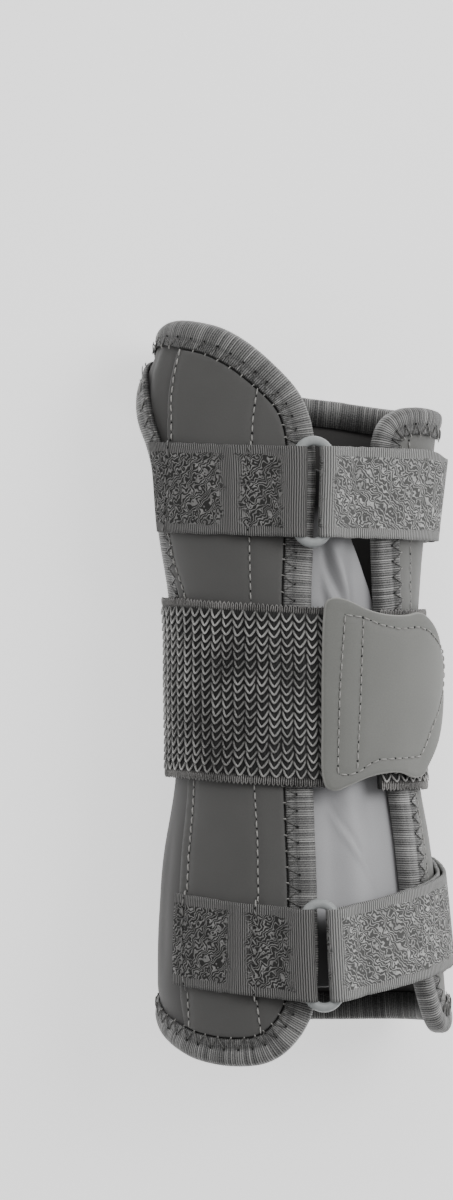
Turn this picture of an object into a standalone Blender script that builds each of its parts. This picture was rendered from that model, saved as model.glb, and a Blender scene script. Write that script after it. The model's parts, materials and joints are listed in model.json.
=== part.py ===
"""Wrist brace for a right hand, fastened and lying on its palm side.

Metres. +X is the little-finger side, +Y the fingertips and +Z the back of the hand.
The origin is on the flat underside of the wrist band, below the wrist.

Every piece is laid out on one form, the hollow that the hand fills. A place on the form is
a turn in degrees (0 on the back of the hand, +90 at the little-finger side, -90 at the
thumb side, 180 on the palm), a y along the arm, and a lift out from the hollow's skin.
"""

import math

import bmesh
import bpy
import numpy as np
from mathutils import Vector
from mathutils.geometry import delaunay_2d_cdt

# Form
HALF_LENGTH = 0.102
HALF_WIDTH = 0.0374
HEIGHT = 0.056
REST_HALF_WIDTH = 0.014
CENTRE_SHARE = 0.45
FLOOR_START = 0.56
FLOOR_END = 0.85

# Walls, from the hollow outwards
CLEARANCE = 0.0003
WRAP_WALL = 0.0026
BINDING_WALL = 0.0010
COVER_WALL = 0.0010
TONGUE_WALL = 0.0012
STRAP_WALL = 0.0010
BAND_WALL = 0.0022
TAB_WALL = 0.0016

# Flat sizes of the sewn pieces
BINDING_REACH = 0.0014
BINDING_LEG = 0.0062
THUMB_BINDING_LEG = 0.0048
NOSE_SHARE = 0.75
STRAP_WIDTH = 0.0250
BAND_WIDTH = 0.0494
TONGUE_BULGE = 0.0022
TAB_LIP = 0.0018
STRAP_STANDOFF = 0.0010

# Rings
WIRE_DIAMETER = 0.00265
RING_BAR_SPACING = 0.0088
RING_END_ROUND = 0.0017
RING_PLAY = 0.0011
RING_CLEARANCE = 0.0005

# Lifts that follow from the walls
OVERLAY_LIFT = WRAP_WALL + CLEARANCE
OVERLAY_WALL = max(BINDING_WALL, COVER_WALL)
STRAP_LIFT = OVERLAY_LIFT + OVERLAY_WALL + CLEARANCE
PLY_STEP = STRAP_WALL + CLEARANCE
BAR_LIFT = STRAP_LIFT + STRAP_WALL + RING_CLEARANCE + WIRE_DIAMETER / 2
FOLD_RADIUS = WIRE_DIAMETER / 2 + RING_CLEARANCE + STRAP_WALL / 2
TAB_LIFT = STRAP_LIFT + BAND_WALL + CLEARANCE
TONGUE_TOP = -(CLEARANCE + BINDING_WALL + CLEARANCE)
REST_FLOOR = OVERLAY_LIFT + BAND_WALL
END_FLOOR = OVERLAY_LIFT + BINDING_WALL

# Turns, in degrees
FULL_TURN = 360.0
SIDE_TURN = 90.0
REST_TURN = 165.0

# Mesh fineness
FINE_STEP = 0.0008
MEAN_PACE = 0.0006
BEND_STEP = math.radians(8.5)
BEND_SHARE = 0.5
ALONG_STEP = 0.0125
CLEAR_STEPS = 0.6
SHARPEST_STEP = math.radians(18.0)
BEND_SECTION = 0.6
MERGE_DISTANCE = 1e-7
WIRE_SIDES = 8
BAND_COLUMNS = 6
STRAP_COLUMNS = 4
RING_END_STEPS = 8

# Hollow: shares of half length, half width, half width and height
FORM_ROWS = (
    # along, side shift, half width, height
    (-1.02, 0.070, 0.989, 1.000),
    (-0.88, 0.059, 1.000, 0.982),
    (-0.69, 0.037, 0.979, 0.946),
    (-0.42, 0.024, 0.914, 0.875),
    (-0.25, 0.024, 0.840, 0.821),
    (0.00, 0.016, 0.829, 0.786),
    (0.25, 0.011, 0.845, 0.768),
    (0.41, -0.012, 0.904, 0.732),
    (0.667, -0.011, 0.985, 0.661),
    (0.735, -0.024, 1.016, 0.643),
    (0.81, -0.029, 1.014, 0.622),
    (0.88, -0.020, 0.990, 0.604),
    (0.95, -0.004, 0.952, 0.588),
    (1.02, 0.018, 0.910, 0.571),
)

FORM_SLOPES = np.gradient(np.array(FORM_ROWS), [row[0] for row in FORM_ROWS], axis=0).tolist()

# Bound outline of the wrap, unrolled from the little-finger flap round the palm
WRAP_OUTLINE_ROWS = (
    # turn, share of half length
    (33.4, 0.674),
    (35.5, 0.411),
    (38.1, 0.250),
    (44.5, -0.050),
    (47.4, -0.261),
    (47.8, -0.502),
    (51.5, -0.700),
    (56.8, -0.826),
    (65.0, -0.895),
    (76.0, -0.917),
    (92.0, -0.906),
    (125.0, -0.900),
    (180.0, -0.905),
    (235.0, -0.885),
    (270.0, -0.868),
    (284.4, -0.880),
    (296.0, -0.925),
    (310.5, -0.966),
    (330.0, -0.992),
    (344.4, -0.982),
    (354.0, -0.945),
    (362.5, -0.868),
    (366.2, -0.770),
    (367.5, -0.530),
    (367.0, -0.261),
    (367.0, 0.250),
    (368.8, 0.398),
    (369.2, 0.620),
    (367.6, 0.737),
    (363.0, 0.812),
    (352.5, 0.885),
    (338.9, 0.948),
    (324.4, 0.987),
    (304.0, 1.006),
    (289.0, 1.000),
    (270.0, 0.984),
    (250.0, 0.973),
    (232.0, 0.948),
    (212.0, 0.895),
    (185.0, 0.822),
    (140.0, 0.776),
    (95.0, 0.762),
    (60.0, 0.772),
    (48.5, 0.764),
    (39.5, 0.735),
)

# Thumb hole, a rounded oval
THUMB_CENTRE = (-109.0, 0.470)
THUMB_HALF = (27.5, 0.332)
THUMB_POWER = 2.4
THUMB_POINTS = 90

# Stay cover on the thumb side of the back
COVER_OUTLINE_ROWS = (
    # turn, share of half length
    (-56.5, 0.895),
    (-53.5, 0.750),
    (-53.5, 0.660),
    (-58.0, 0.540),
    (-62.0, 0.430),
    (-64.0, 0.280),
    (-62.5, 0.000),
    (-61.5, -0.250),
    (-59.5, -0.400),
    (-58.5, -0.600),
    (-57.0, -0.800),
    (-55.0, -0.862),
    (-49.0, -0.872),
    (-35.0, -0.888),
    (-22.0, -0.886),
    (-15.5, -0.862),
    (-14.2, -0.800),
    (-14.5, -0.530),
    (-17.0, -0.250),
    (-18.0, 0.000),
    (-18.0, 0.250),
    (-14.0, 0.424),
    (-11.5, 0.675),
    (-10.0, 0.755),
    (-13.5, 0.792),
    (-25.0, 0.858),
    (-38.0, 0.896),
    (-50.0, 0.912),
)

# Tongue under the opening
TONGUE_OUTLINE_ROWS = (
    # turn, share of half length
    (-14.0, 0.600),
    (-16.0, 0.520),
    (-16.0, 0.000),
    (-14.0, -0.720),
    (-10.0, -0.770),
    (30.0, -0.780),
    (72.0, -0.770),
    (77.0, -0.720),
    (76.0, -0.300),
    (66.0, 0.250),
    (62.0, 0.530),
    (58.0, 0.600),
    (22.0, 0.620),
)
OPENING_ROWS = (
    # share of half length, turn of the thumb-side edge, turn of the other edge
    (-0.85, 5.0, 57.0),
    (-0.50, 8.0, 47.0),
    (0.25, 7.5, 37.5),
    (0.70, 8.5, 33.0),
)
OPENING_MARGIN = 6.0

# Pull tab: turn and share of half the band's width
TAB_OUTLINE_ROWS = (
    (10.2, 0.30),
    (10.9, 0.86),
    (12.2, 1.02),
    (15.5, 1.06),
    (21.0, 1.04),
    (31.0, 0.93),
    (41.0, 0.875),
    (52.0, 0.870),
    (60.5, 0.895),
    (67.0, 0.830),
    (76.0, 0.640),
    (83.0, 0.350),
    (85.0, 0.080),
    (83.0, -0.210),
    (76.5, -0.520),
    (67.0, -0.790),
    (61.5, -0.920),
    (55.5, -0.940),
    (48.0, -0.885),
    (40.0, -0.880),
    (30.0, -0.930),
    (21.0, -1.020),
    (15.5, -1.070),
    (11.6, -1.040),
    (9.9, -0.920),
    (9.9, -0.30),
)
TAB_LIP_START = 52.0
TAB_LIP_END = 85.0

# Wrist band: turn and share of the way from the wrap up to the strap lift
BAND_START = 45.0
BAND_END = 381.0
BAND_TURN_STEP = 6.0
BAND_SEAT_ROWS = (
    (45.0, 1.0),
    (69.0, 1.0),
    (93.0, 0.0),
    (195.0, 0.0),
    (201.0, 0.1),
    (207.0, 0.55),
    (213.0, 1.0),
    (381.0, 1.0),
)
BAND_SHIFT_ROWS = ((45.0, -0.01), (180.0, 0.0), (270.0, 0.06), (300.0, 0.05), (368.0, -0.04), (381.0, -0.04))

# Straps: ring places as turn and share of half length, slopes as rise for each metre of strap
TOP_RING_PLACE = (7.6, 0.540)
BOTTOM_RING_PLACE = (7.6, -0.694)
TOP_KEEPER_END = -74.0
BOTTOM_KEEPER_END = -57.5
KEEPER_SEAM = -17.0
STRAP_SEWN_END = 142.0
STRAP_FREE_END = 114.0
TOP_STRAP_SEATS = (62.0, 84.0)
BOTTOM_STRAP_SEATS = (72.0, 92.0)
TOP_KEEPER_SLOPE = -0.035
TOP_STRAP_SLOPE = -0.020
BOTTOM_KEEPER_SLOPE = -0.085
BOTTOM_STRAP_SLOPE = 0.190
STRAP_PATH_STEP = 0.0040
FOLD_STEPS = 6
FOLD_RAMP = 0.0085
PLY_RAMP = 0.0045
STANDOFF_TURNS = (60.0, 80.0, 104.0)

SHARP_ANGLE = math.radians(40.0)

# Finishes: colour, roughness, metallic
DARK_CLOTH = ((0.078, 0.075, 0.073), 0.85, 0.0)
BINDING_TAPE = ((0.105, 0.102, 0.098), 0.60, 0.0)
PALE_CLOTH = ((0.38, 0.38, 0.39), 0.75, 0.0)
DARK_WEBBING = ((0.090, 0.087, 0.085), 0.90, 0.0)
GREY_WEBBING = ((0.26, 0.26, 0.255), 0.90, 0.0)
KNIT = ((0.060, 0.058, 0.056), 0.80, 0.0)
TAB_CLOTH = ((0.235, 0.235, 0.220), 0.70, 0.0)
RING_PLASTIC = ((0.50, 0.52, 0.52), 0.40, 0.0)


def through(rows, slopes, at):
    """The columns of a table at one place, on smooth curves through its rows."""
    at = min(max(at, rows[0][0]), rows[-1][0])
    index = 0
    while index < len(rows) - 2 and rows[index + 1][0] < at:
        index += 1
    before, after = rows[index], rows[index + 1]
    span = after[0] - before[0]
    t = (at - before[0]) / span
    return [
        before[column] * (1 + 2 * t) * (1 - t) ** 2
        + after[column] * t * t * (3 - 2 * t)
        + slopes[index][column] * span * t * (1 - t) ** 2
        - slopes[index + 1][column] * span * t * t * (1 - t)
        for column in range(1, len(before))
    ]


def straight(rows, column, at):
    """Value of one column of a table, on straight lines between its rows."""
    return float(np.interp(at, [row[0] for row in rows], [row[column] for row in rows]))


def eased(at, start, end):
    """Share from 0 at the start to 1 at the end, with level ends."""
    t = min(max((at - start) / (end - start), 0.0), 1.0)
    return t * t * (3 - 2 * t)


def form_at(y):
    """Side shift, half width, height and floor of the hollow at one place along the arm."""
    side, half, height = through(FORM_ROWS, FORM_SLOPES, y / HALF_LENGTH)
    drop = eased(abs(y), BAND_WIDTH * FLOOR_START, HALF_LENGTH * FLOOR_END)
    floor = REST_FLOOR + (END_FLOOR - REST_FLOOR) * drop
    return HALF_WIDTH * side, HALF_WIDTH * half, HEIGHT * height, floor


def surface(turn, y, lift):
    """Point at a turn round the form, a place along the arm and a lift out from the hollow."""
    side, half, height, floor = form_at(y)
    turn = (turn + FULL_TURN / 2) % FULL_TURN - FULL_TURN / 2
    hand = math.copysign(1.0, turn)
    turn = abs(turn)
    centre = floor + CENTRE_SHARE * height
    if turn <= SIDE_TURN:
        angle, across, rise, flat = math.radians(turn), half, (1 - CENTRE_SHARE) * height, 0.0
    else:
        part = min((turn - SIDE_TURN) / (REST_TURN - SIDE_TURN), 1.0)
        angle = math.radians(SIDE_TURN * (1 + part))
        across, rise = half - REST_HALF_WIDTH, CENTRE_SHARE * height
        flat = REST_HALF_WIDTH * min((FULL_TURN / 2 - turn) / (FULL_TURN / 2 - REST_TURN), 1.0)
    normal = Vector((math.sin(angle) / across, math.cos(angle) / rise)).normalized()
    x = flat + across * math.sin(angle) + lift * normal.x
    return Vector((side + hand * x, y, centre + rise * math.cos(angle) + lift * normal.y))


def pace(turn, y, lift=WRAP_WALL / 2):
    """Metres round the form for each degree of turn."""
    return (surface(turn + 0.5, y, lift) - surface(turn - 0.5, y, lift)).length


def smooth_loop(rows):
    """Closed list of (turn, y) on a smooth curve through an outline's rows."""
    points = [Vector((turn, share * HALF_LENGTH)) for turn, share in rows]
    count = len(points)
    loop = []
    for index, start in enumerate(points):
        before, end, after = points[index - 1], points[(index + 1) % count], points[(index + 2) % count]
        length = math.hypot((end.x - start.x) * pace(start.x, start.y), end.y - start.y)
        steps = max(int(length / FINE_STEP), 1)
        into, out = chord_slopes(before, start, end, after)
        for step in range(steps):
            t = step / steps
            loop.append(
                start * ((1 + 2 * t) * (1 - t) ** 2)
                + end * (t * t * (3 - 2 * t))
                + into * (t * (1 - t) ** 2)
                - out * (t * t * (1 - t))
            )
    return loop


def chord_slopes(before, start, end, after):
    """Tangents at the two ends of one stretch, for points that are unevenly far apart."""
    def plan(step):
        return max(math.hypot(step.x * MEAN_PACE, step.y), FINE_STEP) ** 0.5

    last, here, following = plan(start - before), plan(end - start), plan(after - end)
    into = (start - before) / last - (end - before) / (last + here) + (end - start) / here
    out = (end - start) / here - (after - start) / (here + following) + (after - end) / following
    return into * here, out * here


def outward(loop, index, reach=2):
    """Unit normal of a loop at one point, to the right of its direction, as metres round and along."""
    here = loop[index]
    step = loop[(index + reach) % len(loop)] - loop[index - reach]
    across = Vector((step.y, -step.x * pace(here.x, here.y)))
    return across.normalized()


def moved(place, normal, distance):
    """A (turn, y) place moved along a normal by a distance in metres."""
    return Vector((place.x + distance * normal.x / pace(place.x, place.y), place.y + distance * normal.y))


def inset(loop, distance):
    """Loop moved to its inner side."""
    return [moved(place, outward(loop, index), -distance) for index, place in enumerate(loop)]


def thinned(loop):
    """Indices of a fine loop that keep its bends and leave out the rest."""
    kept = [0]
    gone = bend = 0.0
    previous = outward(loop, 0)
    for index in range(1, len(loop)):
        gone += (in_steps(loop[index]) - in_steps(loop[index - 1])).length
        normal = outward(loop, index)
        bend += abs(previous.angle_signed(normal, 0.0))
        previous = normal
        if gone > 1.0 or bend > SHARPEST_STEP:
            kept.append(index)
            gone = bend = 0.0
    return kept


def bend_table():
    """Turns one degree apart and the mesh steps up to each, closer together where the section bends."""
    turns = np.arange(-FULL_TURN / 2, 1.5 * FULL_TURN + 1.0, 1.0)
    y = HALF_LENGTH * BEND_SECTION
    normals = [(surface(turn, y, 1.0) - surface(turn, y, 0.0)).xz for turn in turns]
    bends = [before.angle(after) for before, after in zip(normals, normals[1:])]
    steps = [(BEND_SHARE * bend + (1 - BEND_SHARE) * math.radians(1.0)) / BEND_STEP for bend in bends]
    return turns, np.concatenate(([0.0], np.cumsum(steps)))


def in_steps(place):
    """A (turn, y) place counted in mesh steps, which follow the form's bend."""
    return Vector((float(np.interp(place.x, *BENDS)), place.y / ALONG_STEP))


def from_steps(place):
    """The (turn, y) place of a place counted in mesh steps."""
    return Vector((float(np.interp(place.x, BENDS[1], BENDS[0])), place.y * ALONG_STEP))


def add_object(name, points, faces, finish):
    """Make one named object with its own material from points and faces."""
    mesh = bpy.data.meshes.new(name)
    shape = bmesh.new()
    corners = [shape.verts.new(point) for point in points]
    for face in faces:
        shape.faces.new([corners[index] for index in face])
    bmesh.ops.triangulate(shape, faces=shape.faces)
    bmesh.ops.recalc_face_normals(shape, faces=shape.faces)
    shape.to_mesh(mesh)
    shape.free()
    mesh.shade_smooth()
    mesh.set_sharp_from_angle(angle=SHARP_ANGLE)
    colour, roughness, metallic = finish
    material = bpy.data.materials.new(name)
    material.use_nodes = True
    shader = material.node_tree.nodes["Principled BSDF"]
    shader.inputs["Base Color"].default_value = (*colour, 1.0)
    shader.inputs["Roughness"].default_value = roughness
    shader.inputs["Metallic"].default_value = metallic
    mesh.materials.append(material)
    thing = bpy.data.objects.new(name, mesh)
    bpy.context.scene.collection.objects.link(thing)
    return thing


def band_of_faces(rows, closed_rows):
    """Quads between neighbouring rows of points, each row itself closed; open ends are capped."""
    size = len(rows[0])
    faces = []
    last = len(rows) if closed_rows else len(rows) - 1
    for row in range(last):
        following = (row + 1) % len(rows)
        for index in range(size):
            beside = (index + 1) % size
            faces.append(
                (row * size + index, row * size + beside, following * size + beside, following * size + index)
            )
    if not closed_rows:
        faces.append(tuple(range(size)))
        faces.append(tuple(range((len(rows) - 1) * size, len(rows) * size)))
    return faces


def inside(place, loop):
    """Whether a plan place lies inside a closed loop."""
    within = False
    for index, start in enumerate(loop):
        end = loop[index - 1]
        if (start.y > place.y) != (end.y > place.y):
            if place.x < start.x + (end.x - start.x) * (place.y - start.y) / (end.y - start.y):
                within = not within
    return within


def add_sheet(name, outline, low, high, finish, holes=(), guides=()):
    """Lay a flat pattern on the form as a closed wall between two lifts, given as functions of place.

    Guides are places inside the pattern that the mesh has corners at.
    """
    loops = [[in_steps(place) for place in loop] for loop in (outline, *holes)]
    fixed = [place for place in map(in_steps, guides) if in_pattern(place, loops)]
    points, edges = [], []
    for loop in loops:
        first = len(points)
        points.extend(loop)
        edges.extend((first + index, first + (index + 1) % len(loop)) for index in range(len(loop)))
    points.extend(fixed)
    points.extend(grid_inside(loops, fixed))
    flat, _, triangles, *_ = delaunay_2d_cdt(points, edges, [], 0, MERGE_DISTANCE)
    kept = [face for face in triangles if in_pattern(sum((flat[i] for i in face), Vector((0, 0))) / 3, loops)]
    used = sorted({index for face in kept for index in face})
    order = {index: place for place, index in enumerate(used)}
    places = [tuple(from_steps(flat[index])) for index in used]
    kept = [tuple(order[index] for index in face) for face in kept]
    count = len(places)
    corners = [surface(turn, y, low(turn, y)) for turn, y in places]
    corners += [surface(turn, y, high(turn, y)) for turn, y in places]
    faces = [tuple(reversed(face)) for face in kept]
    faces += [tuple(index + count for index in face) for face in kept]
    rim = {}
    for face in kept:
        for start, end in zip(face, face[1:] + face[:1]):
            rim[(start, end)] = (end, start) not in rim
            if not rim[(start, end)]:
                rim[(end, start)] = False
    open_edges = [edge for edge, is_open in rim.items() if is_open]
    faces += [(start, end, end + count, start + count) for start, end in open_edges]
    return add_object(name, corners, faces, finish)


def in_pattern(place, loops):
    """Whether a plan place is inside the outline and in none of its holes."""
    return inside(place, loops[0]) and not any(inside(place, hole) for hole in loops[1:])


def grid_inside(loops, fixed):
    """Staggered grid of plan points inside a pattern, clear of its edges and fixed points."""
    xs = [place.x for place in loops[0]]
    ys = [place.y for place in loops[0]]
    taken = np.array([tuple(place) for loop in (*loops, fixed) for place in loop])
    points = []
    for row in range(1, int(max(ys) - min(ys)) + 1):
        for column in range(int(max(xs) - min(xs)) + 1):
            place = Vector((min(xs) + column + 0.5 * (row % 2), min(ys) + row))
            if np.hypot(*(taken - np.array(place)).T).min() > CLEAR_STEPS and in_pattern(place, loops):
                points.append(place)
    return points


def level(lift):
    """Lift function of a sheet that lies evenly."""
    return lambda turn, y: lift


def wrap_edge():
    """Fine cut edge of the wrap inside its binding, and the stations kept from it."""
    edge = inset(smooth_loop(WRAP_OUTLINE_ROWS), BINDING_REACH)
    return edge, thinned(edge)


def rounded(share):
    """One coordinate of a circle pushed out towards a square, which makes it a rounded oval."""
    return math.copysign(abs(share) ** (2 / THUMB_POWER), share)


def thumb_edge():
    """Fine cut edge of the thumb hole and the stations kept from it, the same way round as the wrap."""
    loop = []
    for step in range(THUMB_POINTS):
        angle = 2 * math.pi * step / THUMB_POINTS
        run = rounded(math.cos(angle)) * THUMB_HALF[0]
        rise = rounded(math.sin(angle)) * THUMB_HALF[1]
        loop.append(Vector((THUMB_CENTRE[0] + FULL_TURN + run, HALF_LENGTH * (THUMB_CENTRE[1] + rise))))
    edge = inset(loop, -BINDING_REACH)
    return edge, thinned(edge)


def add_binding(name, edge, stations, leg, hand):
    """Fold a tape over an edge; hand is 1 where the bound cloth lies inside the loop and -1 round a hole."""
    low, high = -CLEARANCE, WRAP_WALL + CLEARANCE
    middle = (low + high) / 2
    profile = (
        (-leg, high + BINDING_WALL),
        (-leg / 2, high + BINDING_WALL),
        (-CLEARANCE, high + BINDING_WALL),
        (BINDING_REACH * NOSE_SHARE, high + BINDING_WALL * (1 - NOSE_SHARE)),
        (BINDING_REACH, middle),
        (BINDING_REACH * NOSE_SHARE, low - BINDING_WALL * (1 - NOSE_SHARE)),
        (-CLEARANCE, low - BINDING_WALL),
        (-leg, low - BINDING_WALL),
        (-leg, low),
        (-leg / 2, low),
        (CLEARANCE, low),
        (CLEARANCE, high),
        (-leg / 2, high),
        (-leg, high),
    )
    rows = []
    for station in stations:
        place, normal = edge[station], outward(edge, station) * hand
        row = []
        for reach, lift in profile:
            spot = moved(place, normal, reach)
            row.append(surface(spot.x, spot.y, lift))
        rows.append(row)
    points = [point for row in rows for point in row]
    return add_object(name, points, band_of_faces(rows, True), BINDING_TAPE)


def add_wrap():
    """The wrap with its thumb hole, and the tape round each of its edges."""
    edge, stations = wrap_edge()
    hole, hole_stations = thumb_edge()
    guides = [inset(edge, BINDING_LEG)[index] for index in stations]
    for share in (0.5, 1.0):
        guides += [inset(hole, -share * THUMB_BINDING_LEG)[index] for index in hole_stations]
    add_sheet(
        "body_wrap",
        [edge[index] for index in stations],
        level(0.0),
        level(WRAP_WALL),
        DARK_CLOTH,
        holes=[[hole[index] for index in hole_stations]],
        guides=guides,
    )
    add_binding("edge_binding", edge, stations, BINDING_LEG, 1)
    add_binding("thumb_binding", hole, hole_stations, THUMB_BINDING_LEG, -1)


def add_stay_cover():
    """The sewn pocket panel over the stay."""
    loop = smooth_loop(COVER_OUTLINE_ROWS)
    outline = [loop[index] for index in thinned(loop)]
    add_sheet("stay_cover", outline, level(OVERLAY_LIFT), level(OVERLAY_LIFT + COVER_WALL), DARK_CLOTH)


def tongue_top(turn, y):
    """Lift of the tongue's face, which swells up into the opening between the flaps."""
    share = y / HALF_LENGTH
    start = straight(OPENING_ROWS, 1, share) + OPENING_MARGIN
    end = straight(OPENING_ROWS, 2, share) - OPENING_MARGIN
    part = min(max((turn - start) / (end - start), 0.0), 1.0)
    return TONGUE_TOP + TONGUE_BULGE * math.sin(math.pi * part) ** 2


def add_tongue():
    """The smooth panel under the opening along the back."""
    loop = smooth_loop(TONGUE_OUTLINE_ROWS)
    outline = [loop[index] for index in thinned(loop)]
    add_sheet("tongue", outline, lambda turn, y: tongue_top(turn, y) - TONGUE_WALL, tongue_top, PALE_CLOTH)


def add_ribbon(name, path, width, middle, across, finish):
    """Sweep a flat ribbon: path holds (turn, face lift below, face lift above), middle gives y at a turn."""
    rows = []
    for (low_turn, low_lift), (high_turn, high_lift), y in path_with_y(path, middle):
        shares = [2 * step / across - 1 for step in range(across + 1)]
        row = [surface(low_turn, y + share * width / 2, low_lift) for share in shares]
        row += [surface(high_turn, y + share * width / 2, high_lift) for share in reversed(shares)]
        rows.append(row)
    points = [point for row in rows for point in row]
    return add_object(name, points, band_of_faces(rows, False), finish)


def path_with_y(path, middle):
    """Each path station with its place along the arm."""
    for low, high in path:
        yield low, high, middle((low[0] + high[0]) / 2)


def add_wrist_band():
    """The knitted band, right round the wrist from the little-finger flap to below the tab."""
    count = round((BAND_END - BAND_START) / BAND_TURN_STEP)
    path = []
    for step in range(count + 1):
        turn = BAND_START + step * BAND_TURN_STEP
        low = OVERLAY_LIFT + (STRAP_LIFT - OVERLAY_LIFT) * straight(BAND_SEAT_ROWS, 1, turn)
        path.append(((turn, low), (turn, low + BAND_WALL)))

    def middle(turn):
        return BAND_WIDTH / 2 * straight(BAND_SHIFT_ROWS, 1, turn)

    add_ribbon("wrist_band", path, BAND_WIDTH, middle, BAND_COLUMNS, KNIT)


def add_pull_tab():
    """The stitched tab on the end of the band, its tip standing a little proud."""
    scale = BAND_WIDTH / 2 / HALF_LENGTH
    loop = smooth_loop([(turn, share * scale) for turn, share in TAB_OUTLINE_ROWS])
    outline = [loop[index] for index in thinned(loop)]

    def low(turn, y):
        return TAB_LIFT + TAB_LIP * eased(turn, TAB_LIP_START, TAB_LIP_END)

    add_sheet("pull_tab", outline, low, lambda turn, y: low(turn, y) + TAB_WALL, TAB_CLOTH)


class StrapLine:
    """Distances round the form at one ring, so that folds keep their size on it."""

    def __init__(self, place):
        self.turn, self.y = place[0], place[1] * HALF_LENGTH
        self.turns = np.arange(-SIDE_TURN, FULL_TURN / 2 + 0.5, 1.0)
        steps = [pace(turn + 0.5, self.y, BAR_LIFT) for turn in self.turns[:-1]]
        self.ways = np.concatenate(([0.0], np.cumsum(steps)))
        self.ways -= np.interp(self.turn, self.turns, self.ways)

    def way(self, turn):
        """Distance from the ring's centre to a turn."""
        return float(np.interp(turn, self.turns, self.ways))

    def turn_at(self, way):
        """Turn at a distance from the ring's centre."""
        return float(np.interp(way, self.ways, self.turns))


def evenly(start, end, step):
    """Distances from start to end, both included, about a step apart."""
    return list(np.linspace(start, end, max(int(abs(end - start) / step), 1) + 1))


def fold_round(hand):
    """Fold of a strap round its bar, from the ply below to the ply above, as (way, lift)."""
    points = []
    for step in range(FOLD_STEPS + 1):
        angle = math.pi * step / FOLD_STEPS
        points.append((
            hand * (RING_BAR_SPACING / 2 - FOLD_RADIUS * math.sin(angle)),
            BAR_LIFT - FOLD_RADIUS * math.cos(angle),
        ))
    return points


def strap_path(below, above, end_below, end_above, hand):
    """Middle line of a strap from its lower end, round the bar, to its upper end, as (way, lift)."""
    bar = hand * RING_BAR_SPACING / 2
    down = [(way, below(way)) for way in evenly(end_below, bar, STRAP_PATH_STEP)[:-1]]
    back = [(way, above(way)) for way in evenly(bar, end_above, STRAP_PATH_STEP)[1:]]
    return down + fold_round(hand) + back


def add_strap(name, line, points, bar, slope, finish):
    """Give a strap's middle line its wall and width, and lay it on the form, centred at its bar."""
    path = []
    for index, (way, lift) in enumerate(points):
        before, after = points[max(index - 1, 0)], points[min(index + 1, len(points) - 1)]
        run, rise = after[0] - before[0], after[1] - before[1]
        size = math.hypot(run, rise) / (STRAP_WALL / 2)
        low = (line.turn_at(way + rise / size), lift - run / size)
        high = (line.turn_at(way - rise / size), lift + run / size)
        path.append((low, high))

    def middle(turn):
        way = line.way(turn)
        return line.y + (slope * (way - bar) if abs(way) > abs(bar) else 0.0)

    add_ribbon(name, path, STRAP_WIDTH, middle, STRAP_COLUMNS, finish)


def add_ring(name, line):
    """Oblong wire loop, lying along the straps that it joins."""
    straight_half = (STRAP_WIDTH + RING_PLAY + WIRE_DIAMETER) / 2 - RING_END_ROUND
    route = []
    for hand in (1, -1):
        route.append((hand * RING_BAR_SPACING / 2, 0.0))
        for step in range(RING_END_STEPS + 1):
            angle = math.pi * step / RING_END_STEPS
            route.append((
                hand * RING_BAR_SPACING / 2 * math.cos(angle),
                hand * (straight_half + RING_END_ROUND * math.sin(angle)),
            ))
    places = [(line.turn_at(run), line.y + rise) for run, rise in route]
    middles = [surface(turn, y, BAR_LIFT) for turn, y in places]
    rows = []
    for index, (turn, y) in enumerate(places):
        heading = middles[(index + 1) % len(middles)] - middles[index - 1]
        up = (surface(turn, y, BAR_LIFT + WIRE_DIAMETER) - middles[index]).normalized()
        outwards = heading.cross(up).normalized()
        row = []
        for side in range(WIRE_SIDES):
            angle = 2 * math.pi * side / WIRE_SIDES
            spoke = outwards * math.cos(angle) + up * math.sin(angle)
            row.append(middles[index] + spoke * WIRE_DIAMETER / 2)
        rows.append(row)
    points = [point for row in rows for point in row]
    add_object(name, points, band_of_faces(rows, True), RING_PLASTIC)


def add_keeper(name, line, end, slope):
    """Short sewn strap on the thumb side, looped round the ring's near bar."""
    lower = STRAP_LIFT + STRAP_WALL / 2
    upper = lower + PLY_STEP
    seam = line.way(KEEPER_SEAM)
    bar = -RING_BAR_SPACING / 2

    def above(way):
        rise = (upper - lower) * eased(way, seam - 2 * PLY_RAMP, seam - PLY_RAMP)
        return lower + rise + (BAR_LIFT + FOLD_RADIUS - upper) * eased(way, bar - FOLD_RAMP, bar)

    points = strap_path(lambda way: lower, above, seam, line.way(end), -1)
    add_strap(name, line, points, bar, slope, DARK_WEBBING)


def add_long_strap(name, line, slope, seats, standoff):
    """Strap from its seam on the little-finger side, through the ring and back over itself."""
    lower = STRAP_LIFT + STRAP_WALL / 2
    sewn = OVERLAY_LIFT + STRAP_WALL / 2
    bar = RING_BAR_SPACING / 2

    def below(way):
        return lower + (sewn - lower) * eased(line.turn_at(way), *seats)

    def above(way):
        turn = line.turn_at(way)
        start, peak, end = STANDOFF_TURNS
        lean = standoff * (eased(turn, start, peak) - eased(turn, peak, end))
        return below(way) + PLY_STEP + lean + (BAR_LIFT + FOLD_RADIUS - lower - PLY_STEP) * (
            1 - eased(way, bar, bar + FOLD_RAMP)
        )

    points = strap_path(below, above, line.way(STRAP_SEWN_END), line.way(STRAP_FREE_END), 1)
    add_strap(name, line, points, bar, slope, GREY_WEBBING)


def add_ring_straps():
    """The two rings with the straps that they join."""
    top, bottom = StrapLine(TOP_RING_PLACE), StrapLine(BOTTOM_RING_PLACE)
    add_ring("top_ring", top)
    add_ring("bottom_ring", bottom)
    add_keeper("top_keeper", top, TOP_KEEPER_END, TOP_KEEPER_SLOPE)
    add_keeper("bottom_keeper", bottom, BOTTOM_KEEPER_END, BOTTOM_KEEPER_SLOPE)
    add_long_strap("top_strap", top, TOP_STRAP_SLOPE, TOP_STRAP_SEATS, 0.0)
    add_long_strap("bottom_strap", bottom, BOTTOM_STRAP_SLOPE, BOTTOM_STRAP_SEATS, STRAP_STANDOFF)


BENDS = bend_table()


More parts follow.
